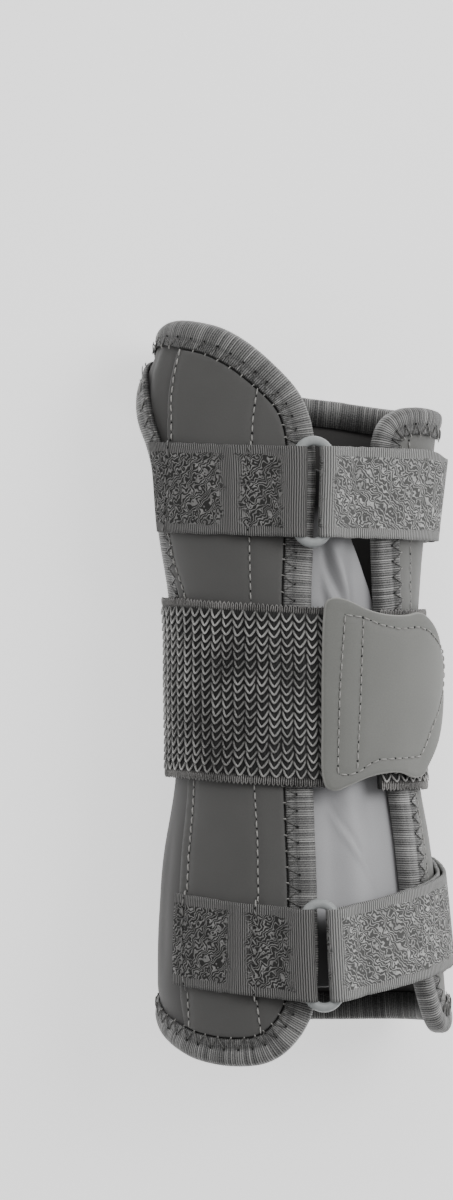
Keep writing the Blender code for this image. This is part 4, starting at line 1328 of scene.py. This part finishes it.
@dataclass(frozen=True)
class Tongue:
    """Smooth panel under the opening, with soft folds near its upper end."""

    outline_rows: Rows = (
        (-8.0, 61.0), (-9.0, 53.0), (-9.0, 0.0), (-8.0, -73.0), (-4.0, -78.5), (18.0, -79.5), (29.0, -78.0),
        (30.3, -70.0), (28.5, -51.7), (25.3, -25.4), (23.4, 0.0), (21.6, 23.6), (18.9, 33.0), (15.9, 41.4),
        (11.5, 52.0), (7.0, 61.0),
    )
    opening_rows: Rows = ((-0.85, 5.0, 57.0), (-0.50, 8.0, 47.0), (0.25, 7.5, 37.5), (0.70, 8.5, 33.0))
    margin: float = 6.0
    bulge: float = 2.2 * MM

    def face(self, turn: np.ndarray, y: np.ndarray) -> np.ndarray:
        """Lift of the tongue's face, with its swell and folds."""
        table = np.array(self.opening_rows)
        share = y / FORM.half_length
        start = np.interp(share, table[:, 0], table[:, 1]) + self.margin
        end = np.interp(share, table[:, 0], table[:, 2]) - self.margin
        part = np.clip((turn - start) / (end - start), 0.0, 1.0)
        swell = self.bulge * np.sin(math.pi * part) ** 2
        slant = turn * 0.66 * MM + 0.45 * (y - 30 * MM)
        upper = eased(y, 16 * MM, 30 * MM)
        folds = upper * (
            1.4 * hump(slant, 9.5 * MM, 1.6 * MM) - 1.6 * hump(slant, 12.8 * MM, 1.4 * MM)
            + 1.5 * hump(slant, 16.4 * MM, 1.7 * MM) - 1.3 * hump(slant, 6.4 * MM, 1.3 * MM)
        )
        crease = turn * 0.66 * MM + 0.75 * (y + 40 * MM)
        lower = hump(y, -44 * MM, 11 * MM)
        folds = folds + lower * (0.7 * hump(crease, 15.5 * MM, 1.0 * MM) - 0.8 * hump(crease, 17.4 * MM, 0.9 * MM))
        folds = folds + lower * 0.3 * hump(crease, 23.0 * MM, 1.4 * MM)
        return WALLS.tongue_top + swell + folds * MM * np.sin(math.pi * part) ** 0.5

    def build(self) -> None:
        """Build the tongue."""
        rows = FORM.seen(self.outline_rows, WALLS.tongue_top)
        cloth = CutCloth(Outline.through(rows, 1.2 * MM), step=1.0 * MM, edge_round=0.5 * MM)
        shape = cloth.lay(lambda turn, y: self.face(turn, y) - WALLS.tongue, self.face)
        y = shape.points[:, 1]
        # Painted shadow: the tone drops to the near-black colour at the upper and lower ends, where the tongue runs
        # under the straps, and it falls a little from the middle upwards.
        shade = (0.86 - 0.12 * eased(y, 5 * MM, 45 * MM)) * eased(y, -66 * MM, -57 * MM) * (1 - eased(y, 46 * MM, 52 * MM))
        shape.values["tone"] = shade
        shape.values["rim"] *= 0.0
        piece = dress(shape.build("tongue_panel", TONGUE_FINISH.material()), "tongue_cloth", "tongue")


@dataclass(frozen=True)
class WristBand:
    """Open knitted elastic round the wrist, with looped edges."""

    start: float = 38.0
    end: float = 381.0
    step: float = 1.0
    columns: int = 24
    ground: float = 1.25 * MM
    edge_width: float = 2.4 * MM
    hairpin_pitch: float = 1.25 * MM
    seat_rows: Rows = (
        (45.0, 1.0), (69.0, 1.0), (93.0, 0.0), (195.0, 0.0), (201.0, 0.1), (207.0, 0.55), (213.0, 1.0), (381.0, 1.0),
    )
    shift_rows: Rows = ((45.0, -0.075), (100.0, -0.075), (180.0, 0.0), (270.0, 0.06), (300.0, 0.05), (368.0, -0.04), (381.0, -0.04))

    def seat(self, turn: np.ndarray) -> np.ndarray:
        """Lift of the band's underside."""
        table = np.array(self.seat_rows)
        return WALLS.overlay + (WALLS.strap_seat - WALLS.overlay) * np.interp(turn, table[:, 0], table[:, 1])

    def middle(self, turn: np.ndarray) -> np.ndarray:
        """Place of the band's middle along the arm."""
        table = np.array(self.shift_rows)
        return FORM.band_width / 2 * np.interp(turn, table[:, 0], table[:, 1])

    def build_ground(self) -> bpy.types.Object:
        """The dark elastic ground under the yarn."""
        turns = np.arange(self.start, self.end + self.step / 2, self.step)
        seat, half = self.seat(turns), FORM.band_width / 2 - 0.5 * MM
        shape = ribbon(
            np.stack([turns, seat], axis=1), np.stack([turns, seat + self.ground], axis=1), self.middle(turns),
            half, self.columns, 0.2 * MM,
        )
        shape.values["ridge"] = np.full(len(shape.points), 0.5)
        return dress(shape.build("band_ground", KNIT_GROUND.material()), "knit_elastic", "wrist_band")

    def spots(self, y_offset: float, pitch: float, phase: float, lift: float, across: bool) -> Spots:
        """Spots round the band at one distance from its middle.

        Args:
            y_offset: Distance from the band's middle line.
            pitch: Distance between spots.
            phase: Share of a pitch before the first.
            lift: Lift above the band's underside.
            across: Whether the small shapes point along the arm.

        Returns:
            The spots.
        """
        turns = np.linspace(self.start + 0.8, self.end - 0.8, 400)
        places = np.stack([turns, self.middle(turns) + y_offset], axis=1)
        row = Spots.row(places, lambda turn, y: self.seat(turn) + lift, pitch, phase)
        if across:
            row = Spots(row.points, np.cross(row.ups, row.alongs), row.ups)
        return row

    def build(self, repeats: Repeats) -> None:
        """Build the ground, the rows of yarn and the looped edges."""
        piece = self.build_ground()
        sizes = repeats.sizes
        inner = FORM.band_width - 2 * self.edge_width
        courses = round(inner / sizes.course)
        rng = np.random.default_rng(11)
        rows = []
        for index in range(courses):
            offset = inner * ((index + 0.5) / courses - 0.5) + rng.uniform(-0.08, 0.08) * MM
            rows.append(self.spots(offset, sizes.wale, 0.5 + rng.uniform(-0.05, 0.05), self.ground + 0.22 * MM, False))
        yarn = repeats.lay("band_yarn", Element.CHEVRON, Spots.joined(rows), KNIT_YARN.material(), wobble=0.12,
                           uneven=0.07, seed=21)
        dress(yarn, "knit_elastic")
        edges = []
        for hand in (1, -1):
            at = hand * (FORM.band_width / 2 - self.edge_width / 2 - 0.1 * MM)
            row = self.spots(at, self.hairpin_pitch, 0.5, self.ground + 0.05 * MM, False)
            edges.append(Spots(row.points, row.alongs * hand, row.ups))
        loops = repeats.lay("band_edges", Element.HAIRPIN, Spots.joined(edges), KNIT_EDGE.material(), wobble=0.10,
                            uneven=0.08, seed=22)
        dress(loops, "knit_elastic")


def ribbon(
    low: np.ndarray, high: np.ndarray, middle: np.ndarray, half: float, columns: int, bow: float,
    frill: np.ndarray | None = None,
) -> Shape:
    """Flat ribbon along a line of stations.

    Args:
        low: Turn and lift of its lower face at each station.
        high: Turn and lift of its upper face.
        middle: Its middle's y at each station.
        half: Half its width.
        columns: Faces across it.
        bow: Distance that its edges round out by.
        frill: Distance that each station's edges stand out by, for one edge and the other.

    Returns:
        The closed ribbon, its cloth coordinates along and across in metres.
    """
    frill = np.zeros((len(middle), 2)) if frill is None else frill
    share = np.linspace(-1.0, 1.0, columns + 1)
    offsets = share[None, :] * half + np.where(share[None, :] < 0, -frill[:, :1], frill[:, 1:]) * np.abs(share) ** 6
    below = FORM.place(low[:, :1], middle[:, None] + offsets, low[:, 1:])
    above = FORM.place(high[:, :1], middle[:, None] + offsets, high[:, 1:])
    centre = (low + high) / 2
    edges = [
        FORM.place(centre[:, :1], (middle + offset)[:, None], centre[:, 1:])
        for offset in (half + bow + frill[:, 1], -half - bow - frill[:, 0])
    ]
    rows = np.concatenate([below, edges[0], above[:, ::-1], edges[1]], axis=1)
    line = FORM.place(centre[:, 0], middle, centre[:, 1])
    way = np.concatenate(([0.0], np.cumsum(np.linalg.norm(np.diff(line, axis=0), axis=1))))
    v = np.concatenate([share * half, [half + bow], share[::-1] * half, [-half - bow]])
    flat = np.stack(np.broadcast_arrays(way[:, None], v[None, :]), axis=-1)
    return Shape(rows.reshape(-1, 3), quads(len(middle), rows.shape[1], False, True), flat.reshape(-1, 2))


@dataclass(frozen=True)
class PullTab:
    """Stitched tab on the end of the band."""

    outline_rows: Rows = (
        (10.2, 0.30), (10.9, 0.86), (12.2, 1.02), (15.5, 1.06), (21.0, 1.04), (31.0, 0.93), (41.0, 0.875),
        (52.0, 0.870), (60.5, 0.895), (67.0, 0.830), (76.0, 0.640), (83.0, 0.350), (85.0, 0.080), (83.0, -0.210),
        (76.5, -0.520), (67.0, -0.790), (61.5, -0.920), (55.5, -0.940), (48.0, -0.885), (40.0, -0.880),
        (30.0, -0.930), (21.0, -1.020), (15.5, -1.070), (11.6, -1.040), (9.9, -0.920), (9.9, -0.30),
    )
    seam_rows: Rows = (
        (13.5, 21.5), (18.5, 20.8), (23.3, 18.8), (28.7, 17.6), (34.0, 18.1), (36.4, 17.0), (38.2, 14.4),
        (39.5, 10.8), (39.8, 6.4), (39.6, 1.0), (38.6, -4.9), (37.0, -9.7), (35.8, -13.8), (34.3, -17.4),
        (30.4, -17.7), (23.3, -18.0), (20.4, -19.2), (17.4, -21.3), (14.7, -22.1), (11.5, -21.9), (12.0, 0.0),
    )
    cross_rows: Rows = ((18.6, 20.6), (17.9, 0.0), (16.9, -21.0))
    lip: float = 1.8 * MM
    lip_start: float = 52.0
    lip_end: float = 85.0

    def low(self, turn: np.ndarray, y: np.ndarray) -> np.ndarray:
        """Lift of the tab's underside."""
        return WALLS.tab_seat + self.lip * eased(turn, self.lip_start, self.lip_end)

    def high(self, turn: np.ndarray, y: np.ndarray) -> np.ndarray:
        """Lift of the tab's face."""
        slack = 0.10 * MM * np.sin(turn / 7.0 + y * 60.0) * np.cos(y * 110.0)
        return self.low(turn, y) + WALLS.tab + slack

    def build(self, repeats: Repeats, seams: Seams) -> None:
        """Build the tab and its stitches."""
        rows = [(turn, share * FORM.band_width / 2) for turn, share in self.outline_rows]
        cloth = CutCloth(Outline.through(rows, 0.8 * MM), step=0.9 * MM, edge_round=0.5 * MM)
        corners = FORM.seen((*self.seam_rows, self.seam_rows[0]), WALLS.tab_seat + WALLS.tab)
        share = np.linspace(0, len(corners) - 1, 8 * len(corners))
        seam = np.stack([np.interp(share, np.arange(len(corners)), corners[:, c]) for c in (0, 1)], axis=1)
        cross = FORM.seen(self.cross_rows, WALLS.tab_seat + WALLS.tab)
        line = np.vstack([seam, np.stack([np.interp(t, [0, 1, 2], cross[:, c]) for t in np.linspace(0, 2, 80)
                                          for c in (0, 1)]).reshape(-1, 2)])

        def sunk(turn: np.ndarray, y: np.ndarray) -> np.ndarray:
            """Lift of the face, pulled in along the stitches."""
            pace = 0.62 * MM
            away = np.full(np.shape(turn), np.inf)
            for spot in line:
                away = np.minimum(away, np.hypot((turn - spot[0]) * pace, y - spot[1]))
            return self.high(turn, y) - 0.28 * MM * hump(away, 0.0, 0.9 * MM)

        shape = cloth.lay(self.low, sunk)
        # Painted light: the tab is made lighter towards the little-finger side.
        shape.values["tone"] = eased(shape.points[:, 0], 5 * MM, 40 * MM)
        piece = dress(shape.build("tab", TAB_FINISH.material()), "tab_cloth", "pull_tab")
        runs = [
            Spots.row(seam, sunk, seams.pitch), Spots.row(cross, sunk, seams.pitch),
        ]
        holes = [Spots.row(seam, sunk, seams.pitch, 0.0), Spots.row(cross, sunk, seams.pitch, 0.0)]
        thread = repeats.lay("tab_stitches", Element.STITCH, Spots.joined(runs).raised(0.12 * MM), THREAD.material(),
                             seed=31)
        pricks = repeats.lay("tab_holes", Element.HOLE, Spots.joined(holes).raised(0.02 * MM), HOLE_SHADE_FINISH.material(),
                             uneven=0.25, seed=32)
        for extra in (thread, pricks):
            dress(extra, "tab_cloth")


@dataclass(frozen=True)
class StrapLine:
    """Distances round the form at one ring, so that folds keep their size on it."""

    turn: float
    share: float

    @property
    def y(self) -> float:
        """Place of the ring's middle along the arm."""
        return self.share * FORM.half_length

    def table(self) -> tuple[np.ndarray, np.ndarray]:
        """Turns, and the metres from the ring's middle to each."""
        turns = np.arange(-90.0, 180.5)
        steps = FORM.pace(turns[:-1] + 0.5, np.full(len(turns) - 1, self.y), WALLS.bar)
        ways = np.concatenate(([0.0], np.cumsum(steps)))
        return turns, ways - np.interp(self.turn, turns, ways)

    def way(self, turn: np.ndarray | float) -> np.ndarray:
        """Metres from the ring's middle to some turns."""
        return np.interp(turn, *self.table())

    def turn_at(self, way: np.ndarray | float) -> np.ndarray:
        """Turns at distances from the ring's middle."""
        turns, ways = self.table()
        return np.interp(way, ways, turns)


@dataclass(frozen=True)
class RingedPair:
    """A wire ring with the short sewn keeper on its one bar and the long strap round its other."""

    name: str
    line: StrapLine
    keeper_end: float
    keeper_slope: float
    strap_slope: float
    strap_seats: tuple[float, float]
    standoff: float
    corner: float
    seams: Seams
    bar_spacing: float = 8.8 * MM
    end_round: float = 4.4 * MM
    play: float = 0.4 * MM
    width: float = 25.0 * MM
    keeper_seam: float = -17.0
    sewn_end: float = 142.0
    free_end: float = 114.0
    fold_ramp: float = 8.5 * MM
    ply_ramp: float = 4.5 * MM
    standoff_turns: tuple[float, float, float] = (60.0, 80.0, 104.0)
    step: float = 0.7 * MM
    columns: int = 26
    fold_steps: int = 14
    stitch_dip: float = 0.42 * MM

    def fold(self, hand: float) -> np.ndarray:
        """Fold of a strap round its bar, from the ply below to the ply above, as way and lift."""
        angles = np.linspace(0.0, math.pi, self.fold_steps)
        return np.stack([
            hand * (self.bar_spacing / 2 - WALLS.fold * np.sin(angles)), WALLS.bar - WALLS.fold * np.cos(angles)
        ], axis=1)

    def path(self, below: Callable, above: Callable, ends: tuple[float, float], hand: float) -> np.ndarray:
        """Middle line of a strap from its lower end, round the bar, to its upper end."""
        bar = hand * self.bar_spacing / 2
        runs = []
        for lift, end, part in ((below, ends[0], slice(0, -1)), (above, ends[1], slice(1, None))):
            count = max(round(abs(end - bar) / self.step), 2)
            way = np.linspace(end, bar, count) if part.stop else np.linspace(bar, end, count)
            runs.append(np.stack([way, lift(way)], axis=1)[part])
        return np.vstack([runs[0], self.fold(hand), runs[1]])

    def strap(self, name: str, path: np.ndarray, hand: float, slope: float, ribbed: np.ndarray) -> Shape:
        """Give a strap's middle line its wall and width."""
        run, rise = np.gradient(path[:, 0]), np.gradient(path[:, 1])
        size = np.hypot(run, rise) / (WALLS.strap / 2)
        low = np.stack([self.line.turn_at(path[:, 0] + rise / size), path[:, 1] - run / size], axis=1)
        high = np.stack([self.line.turn_at(path[:, 0] - rise / size), path[:, 1] + run / size], axis=1)
        bar = hand * self.bar_spacing / 2
        way = self.line.way((low[:, 0] + high[:, 0]) / 2)
        middle = self.line.y + np.where(np.abs(way) > abs(bar), slope * (way - bar), 0.0)
        rng = np.random.default_rng(len(name) + round(slope * 1000) % 97)
        rough = rng.normal(0.0, 1.0, (len(path), 2))
        frill = 0.10 * MM * (rough + np.roll(rough, 1, axis=0) + np.roll(rough, 2, axis=0)) / 2
        free = eased(np.abs(way), abs(bar) + 2 * MM, abs(bar) + 6 * MM)[:, None]
        frill = frill * free
        frill[:, 1] -= self.corner * eased(self.line.turn_at(way), 62.0, 80.0)
        shape = ribbon(low, high, middle, self.width / 2 - 0.1 * MM, self.columns, 0.1 * MM, frill)
        per_row = len(shape.points) // len(path)
        shape.values["ribbed"] = np.repeat(ribbed, per_row)
        return shape

    def keeper_lift(self, way: np.ndarray) -> np.ndarray:
        """Lift of the middle of the keeper's upper ply."""
        seam, bar = self.line.way(self.keeper_seam), -self.bar_spacing / 2
        lower = WALLS.strap_seat + WALLS.strap / 2
        rise = WALLS.ply_step * eased(way, seam - 2 * self.ply_ramp, seam - self.ply_ramp)
        lift = lower + rise
        return lift + (WALLS.bar + WALLS.fold - lower - WALLS.ply_step) * eased(way, bar - self.fold_ramp, bar)

    def seam_way(self, rows: Rows) -> float:
        """Distance from the ring's middle to a seam."""
        line = self.seams.line(rows)
        order = np.argsort(line[:, 1])
        return float(self.line.way(np.interp(self.line.y, line[order, 1], line[order, 0])))

    def pressed(self, way: np.ndarray) -> np.ndarray:
        """Depth by which the two seams press the keeper down."""
        outer, inner = self.seam_way(self.seams.stay_outer), self.seam_way(self.seams.stay_inner)
        return self.stitch_dip * (0.5 * hump(way, outer, 1.0 * MM) + hump(way, inner, 1.2 * MM))

    def keeper_top(self, turn: np.ndarray, y: np.ndarray) -> np.ndarray:
        """Lift of the keeper's upper face."""
        way = self.line.way(turn)
        return self.keeper_lift(way) - self.pressed(way) + WALLS.strap / 2

    def on_keeper(self, turn: np.ndarray, y: np.ndarray) -> np.ndarray:
        """Whether places lie under the keeper."""
        way, bar = self.line.way(turn), -self.bar_spacing / 2
        middle = self.line.y + self.keeper_slope * (way - bar)
        return (np.abs(y - middle) < self.width / 2 + 0.3 * MM) & (turn > self.keeper_end) & (way < bar)

    def build_keeper(self) -> bpy.types.Object:
        """The short strap on the thumb side."""
        lower = WALLS.strap_seat + WALLS.strap / 2
        path = self.path(
            lambda way: lower + 0.0 * way, lambda way: self.keeper_lift(way) - self.pressed(way),
            (float(self.line.way(self.keeper_seam)), float(self.line.way(self.keeper_end))), -1.0,
        )
        inner, bar = self.seam_way(self.seams.stay_inner), -self.bar_spacing / 2
        way, top = path[:, 0], np.arange(len(path)) > int(np.argmax(path[:, 0])) - self.fold_steps // 2
        ribbed = np.maximum(0.85 * hump(way, inner - 5.0 * MM, 4.2 * MM), 0.95 * hump(way, bar - 0.5 * MM, 4.6 * MM))
        ribbed = np.where(top, ribbed, 0.6)
        shape = self.strap(self.name + "_keeper", path, -1.0, self.keeper_slope, ribbed)
        piece = dress(shape.build("keeper_" + self.name, KEEPER_FINISH.material()), "keeper_webbing",
                      self.name + "_keeper")
        flat = float(np.abs(np.diff(path[:, 0])).sum() + WALLS.fold)
        return piece

    def build_strap(self) -> bpy.types.Object:
        """The long strap, through the ring and back over itself."""
        lower, sewn = WALLS.strap_seat + WALLS.strap / 2, WALLS.overlay + WALLS.strap / 2
        bar = self.bar_spacing / 2

        def below(way: np.ndarray) -> np.ndarray:
            """Lift of the lower ply."""
            return lower + (sewn - lower) * eased(self.line.turn_at(way), *self.strap_seats)

        def above(way: np.ndarray) -> np.ndarray:
            """Lift of the upper ply."""
            turn = self.line.turn_at(way)
            start, peak, end = self.standoff_turns
            lean = self.standoff * (eased(turn, start, peak) - eased(turn, peak, end))
            up = WALLS.bar + WALLS.fold - lower - WALLS.ply_step
            return below(way) + WALLS.ply_step + lean + up * (1 - eased(way, bar, bar + self.fold_ramp))

        ends = (float(self.line.way(self.sewn_end)), float(self.line.way(self.free_end)))
        path = self.path(below, above, ends, 1.0)
        way = path[:, 0]
        ribbed = 0.8 * hump(way, bar - 0.5 * MM, 2.4 * MM) + 0.3 * hump(way, bar + 13.0 * MM, 1.0 * MM)
        shape = self.strap(self.name + "_strap", path, 1.0, self.strap_slope, ribbed)
        piece = dress(shape.build("strap_" + self.name, STRAP_FINISH.material()), "strap_webbing",
                      self.name + "_strap")
        flat = float(np.abs(np.diff(way)).sum() + WALLS.fold)
        return piece

    def build_ring(self) -> bpy.types.Object:
        """The wire ring, lying along the straps that it joins."""
        straight = (self.width + self.play + WALLS.wire) / 2 - self.end_round
        angles = np.linspace(0.0, math.pi, 17)
        route = []
        for hand in (1, -1):
            side = np.linspace(-straight, straight, 18, endpoint=False)[1:]
            route += [(hand * self.bar_spacing / 2, hand * rise) for rise in side]
            route += [
                (hand * self.bar_spacing / 2 * math.cos(a), hand * (straight + self.end_round * math.sin(a)))
                for a in angles
            ]
        route = np.array(route)
        turn, y = self.line.turn_at(route[:, 0]), self.line.y + route[:, 1]
        line, up = FORM.place(turn, y, WALLS.bar), FORM.normal(turn, y)
        shape = tube(line, WALLS.wire / 2, 16, True, up)
        return dress(shape.build("ring_" + self.name, RING_FINISH.material()), "ring_metal", self.name + "_ring")

    def build(self) -> None:
        """Build the ring and both straps."""
        self.build_ring()
        self.build_keeper()
        self.build_strap()


@dataclass(frozen=True)
class SeamWork:
    """The long rows of stitches over the stay cover, the keepers and the little-finger flap."""

    seams: Seams
    wrap: Wrap
    pairs: tuple[RingedPair, ...]

    def face(self, turn: np.ndarray, y: np.ndarray) -> np.ndarray:
        """Lift of what the stay seams lie on: the cover, or a keeper over it."""
        lift = self.wrap.cover_face(turn, y)
        for pair in self.pairs:
            lift = np.where(pair.on_keeper(turn, y), pair.keeper_top(turn, y), lift)
        return lift

    def build(self, repeats: Repeats) -> None:
        """Build the stitches and their needle holes."""
        pitch = self.seams.pitch
        threads, crossings, holes = [], [], []
        for rows, face in (
            (self.seams.stay_outer, self.face), (self.seams.stay_inner, self.face), (self.seams.flap, self.wrap.face),
        ):
            line = self.seams.line(rows)
            run = Spots.row(line, face, pitch)
            over = self.over_keeper(run) & (face is not self.wrap.face)
            threads.append(run.kept(~over))
            slanted = run.alongs + 0.55 * np.cross(run.ups, run.alongs) * (rows is self.seams.stay_inner)
            slanted /= np.linalg.norm(slanted, axis=1, keepdims=True)
            crossings.append(Spots(run.points, slanted, run.ups).kept(over))
            holes.append(Spots.row(line, face, pitch, 0.0))
        thread = repeats.lay(
            "seam_stitches", Element.STITCH, Spots.joined(threads).raised(0.12 * MM), THREAD.material(),
            wobble=0.08, seed=41,
        )
        crossing = repeats.lay(
            "keeper_stitches", Element.STITCH, Spots.joined(crossings).raised(0.14 * MM), DULL_THREAD.material(),
            (0.95, 1.0, 1.0), wobble=0.2, uneven=0.15, seed=43,
        )
        pricks = repeats.lay(
            "seam_holes", Element.HOLE, Spots.joined(holes).raised(0.03 * MM), HOLE_SHADE_FINISH.material(), uneven=0.25,
            seed=42,
        )
        for piece in (thread, crossing, pricks):
            dress(piece, "wrap_cloth")

    def over_keeper(self, run: Spots) -> np.ndarray:
        """Whether each stitch of a run crosses a keeper."""
        over = np.zeros(len(run.points), bool)
        for pair in self.pairs:
            x, y = run.points[:, 0], run.points[:, 1]
            middle = pair.line.y + pair.keeper_slope * (x - 0.5 * MM)
            over |= (np.abs(y - middle) < pair.width / 2) & (x < 0.0)
        return over


@dataclass(frozen=True)
class Studio:
    """Camera over the back of the hand, a pale floor and soft lights."""

    view_centre: tuple[float, float] = (-18.8 * MM, 25.5 * MM)
    view_height: float = 328.8 * MM
    back_level: float = 45.0 * MM
    lens: float = 180.0
    sensor: float = 36.0
    floor_half: float = 4.0

    def camera(self) -> None:
        """The camera at the photograph's angle."""
        data = bpy.data.cameras.new("camera")
        data.lens, data.sensor_width = self.lens, self.sensor
        distance = self.view_height / 2 / (self.sensor / 2 / self.lens)
        data.clip_start, data.clip_end = 0.05, 20.0
        camera = bpy.data.objects.new("camera", data)
        camera.location = (*self.view_centre, self.back_level + distance)
        bpy.context.scene.collection.objects.link(camera)
        bpy.context.scene.camera = camera

    def floor(self) -> None:
        """The plain pale floor."""
        half = self.floor_half
        corners = np.array([(-half, -half, 0), (half, -half, 0), (half, half, 0), (-half, half, 0)], float)
        shape = Shape(corners, [(0, 1, 2, 3)], corners[:, :2])
        material = bpy.data.materials.new("pale_floor")
        material.use_nodes = True
        desk = Desk(material.node_tree)
        shader = material.node_tree.nodes["Principled BSDF"]
        place = desk.add("ShaderNodeTexCoord").outputs["Object"]
        tone = Effects.noise(desk, place, 3.0)
        desk.tree.links.new(desk.blend(tone, (0.88, 0.88, 0.88), (0.92, 0.92, 0.92)), shader.inputs["Base Color"])
        shader.inputs["Roughness"].default_value = 0.9
        shader.inputs["Emission Color"].default_value = (1.0, 1.0, 1.0, 1.0)
        shader.inputs["Emission Strength"].default_value = 1.0
        shape.build("floor", material)

    def lights(self) -> None:
        """Soft light from the little-finger side and the fingertips, with a fill from the other side."""
        world = bpy.data.worlds.new("studio")
        world.use_nodes = True
        world.node_tree.nodes["Background"].inputs["Color"].default_value = (1.0, 1.0, 1.0, 1.0)
        world.node_tree.nodes["Background"].inputs["Strength"].default_value = 0.40
        bpy.context.scene.world = world
        for name, place, size, power in (
            ("key", (0.75, 0.35, 0.85), 0.6, 7.5),
            ("fill", (-0.7, 0.3, 0.9), 0.9, 0.9),
            ("top", (0.1, 0.9, 0.9), 0.7, 2.6),
        ):
            data = bpy.data.lights.new(name, "AREA")
            data.size, data.energy = size, power
            lamp = bpy.data.objects.new(name, data)
            lamp.location = place
            aim = Vector((0.0, 0.0, 0.04)) - Vector(place)
            lamp.rotation_euler = aim.to_track_quat("-Z", "Y").to_euler()
            bpy.context.scene.collection.objects.link(lamp)

    def build(self) -> None:
        """Set up the picture."""
        self.camera()
        self.floor()
        self.lights()


def clear_start_scene() -> None:
    """Remove the objects that a new file starts with."""
    for thing in list(bpy.data.objects):
        bpy.data.objects.remove(thing, do_unlink=True)


def main() -> None:
    """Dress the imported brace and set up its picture."""
    logging.basicConfig(level=logging.INFO, format="%(name)s: %(message)s")
    clear_start_scene()
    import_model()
    repeats, seams = Repeats(), Seams()
    wrap = Wrap(seams)
    wrap.build(repeats)
    Tongue().build()
    WristBand().build(repeats)
    PullTab().build(repeats, seams)
    pairs = (
        RingedPair("top", StrapLine(7.6, 0.540), -74.0, -0.035, -0.020, (62.0, 84.0), 1.9 * MM, 2.2 * MM, seams),
        RingedPair("bottom", StrapLine(7.6, -0.694), -57.5, -0.085, 0.190, (72.0, 92.0), 0.5 * MM, 0.0, seams),
    )
    for pair in pairs:
        pair.build()
    SeamWork(seams, wrap, pairs).build(repeats)
    Studio().build()


if __name__ == "__main__":
    main()
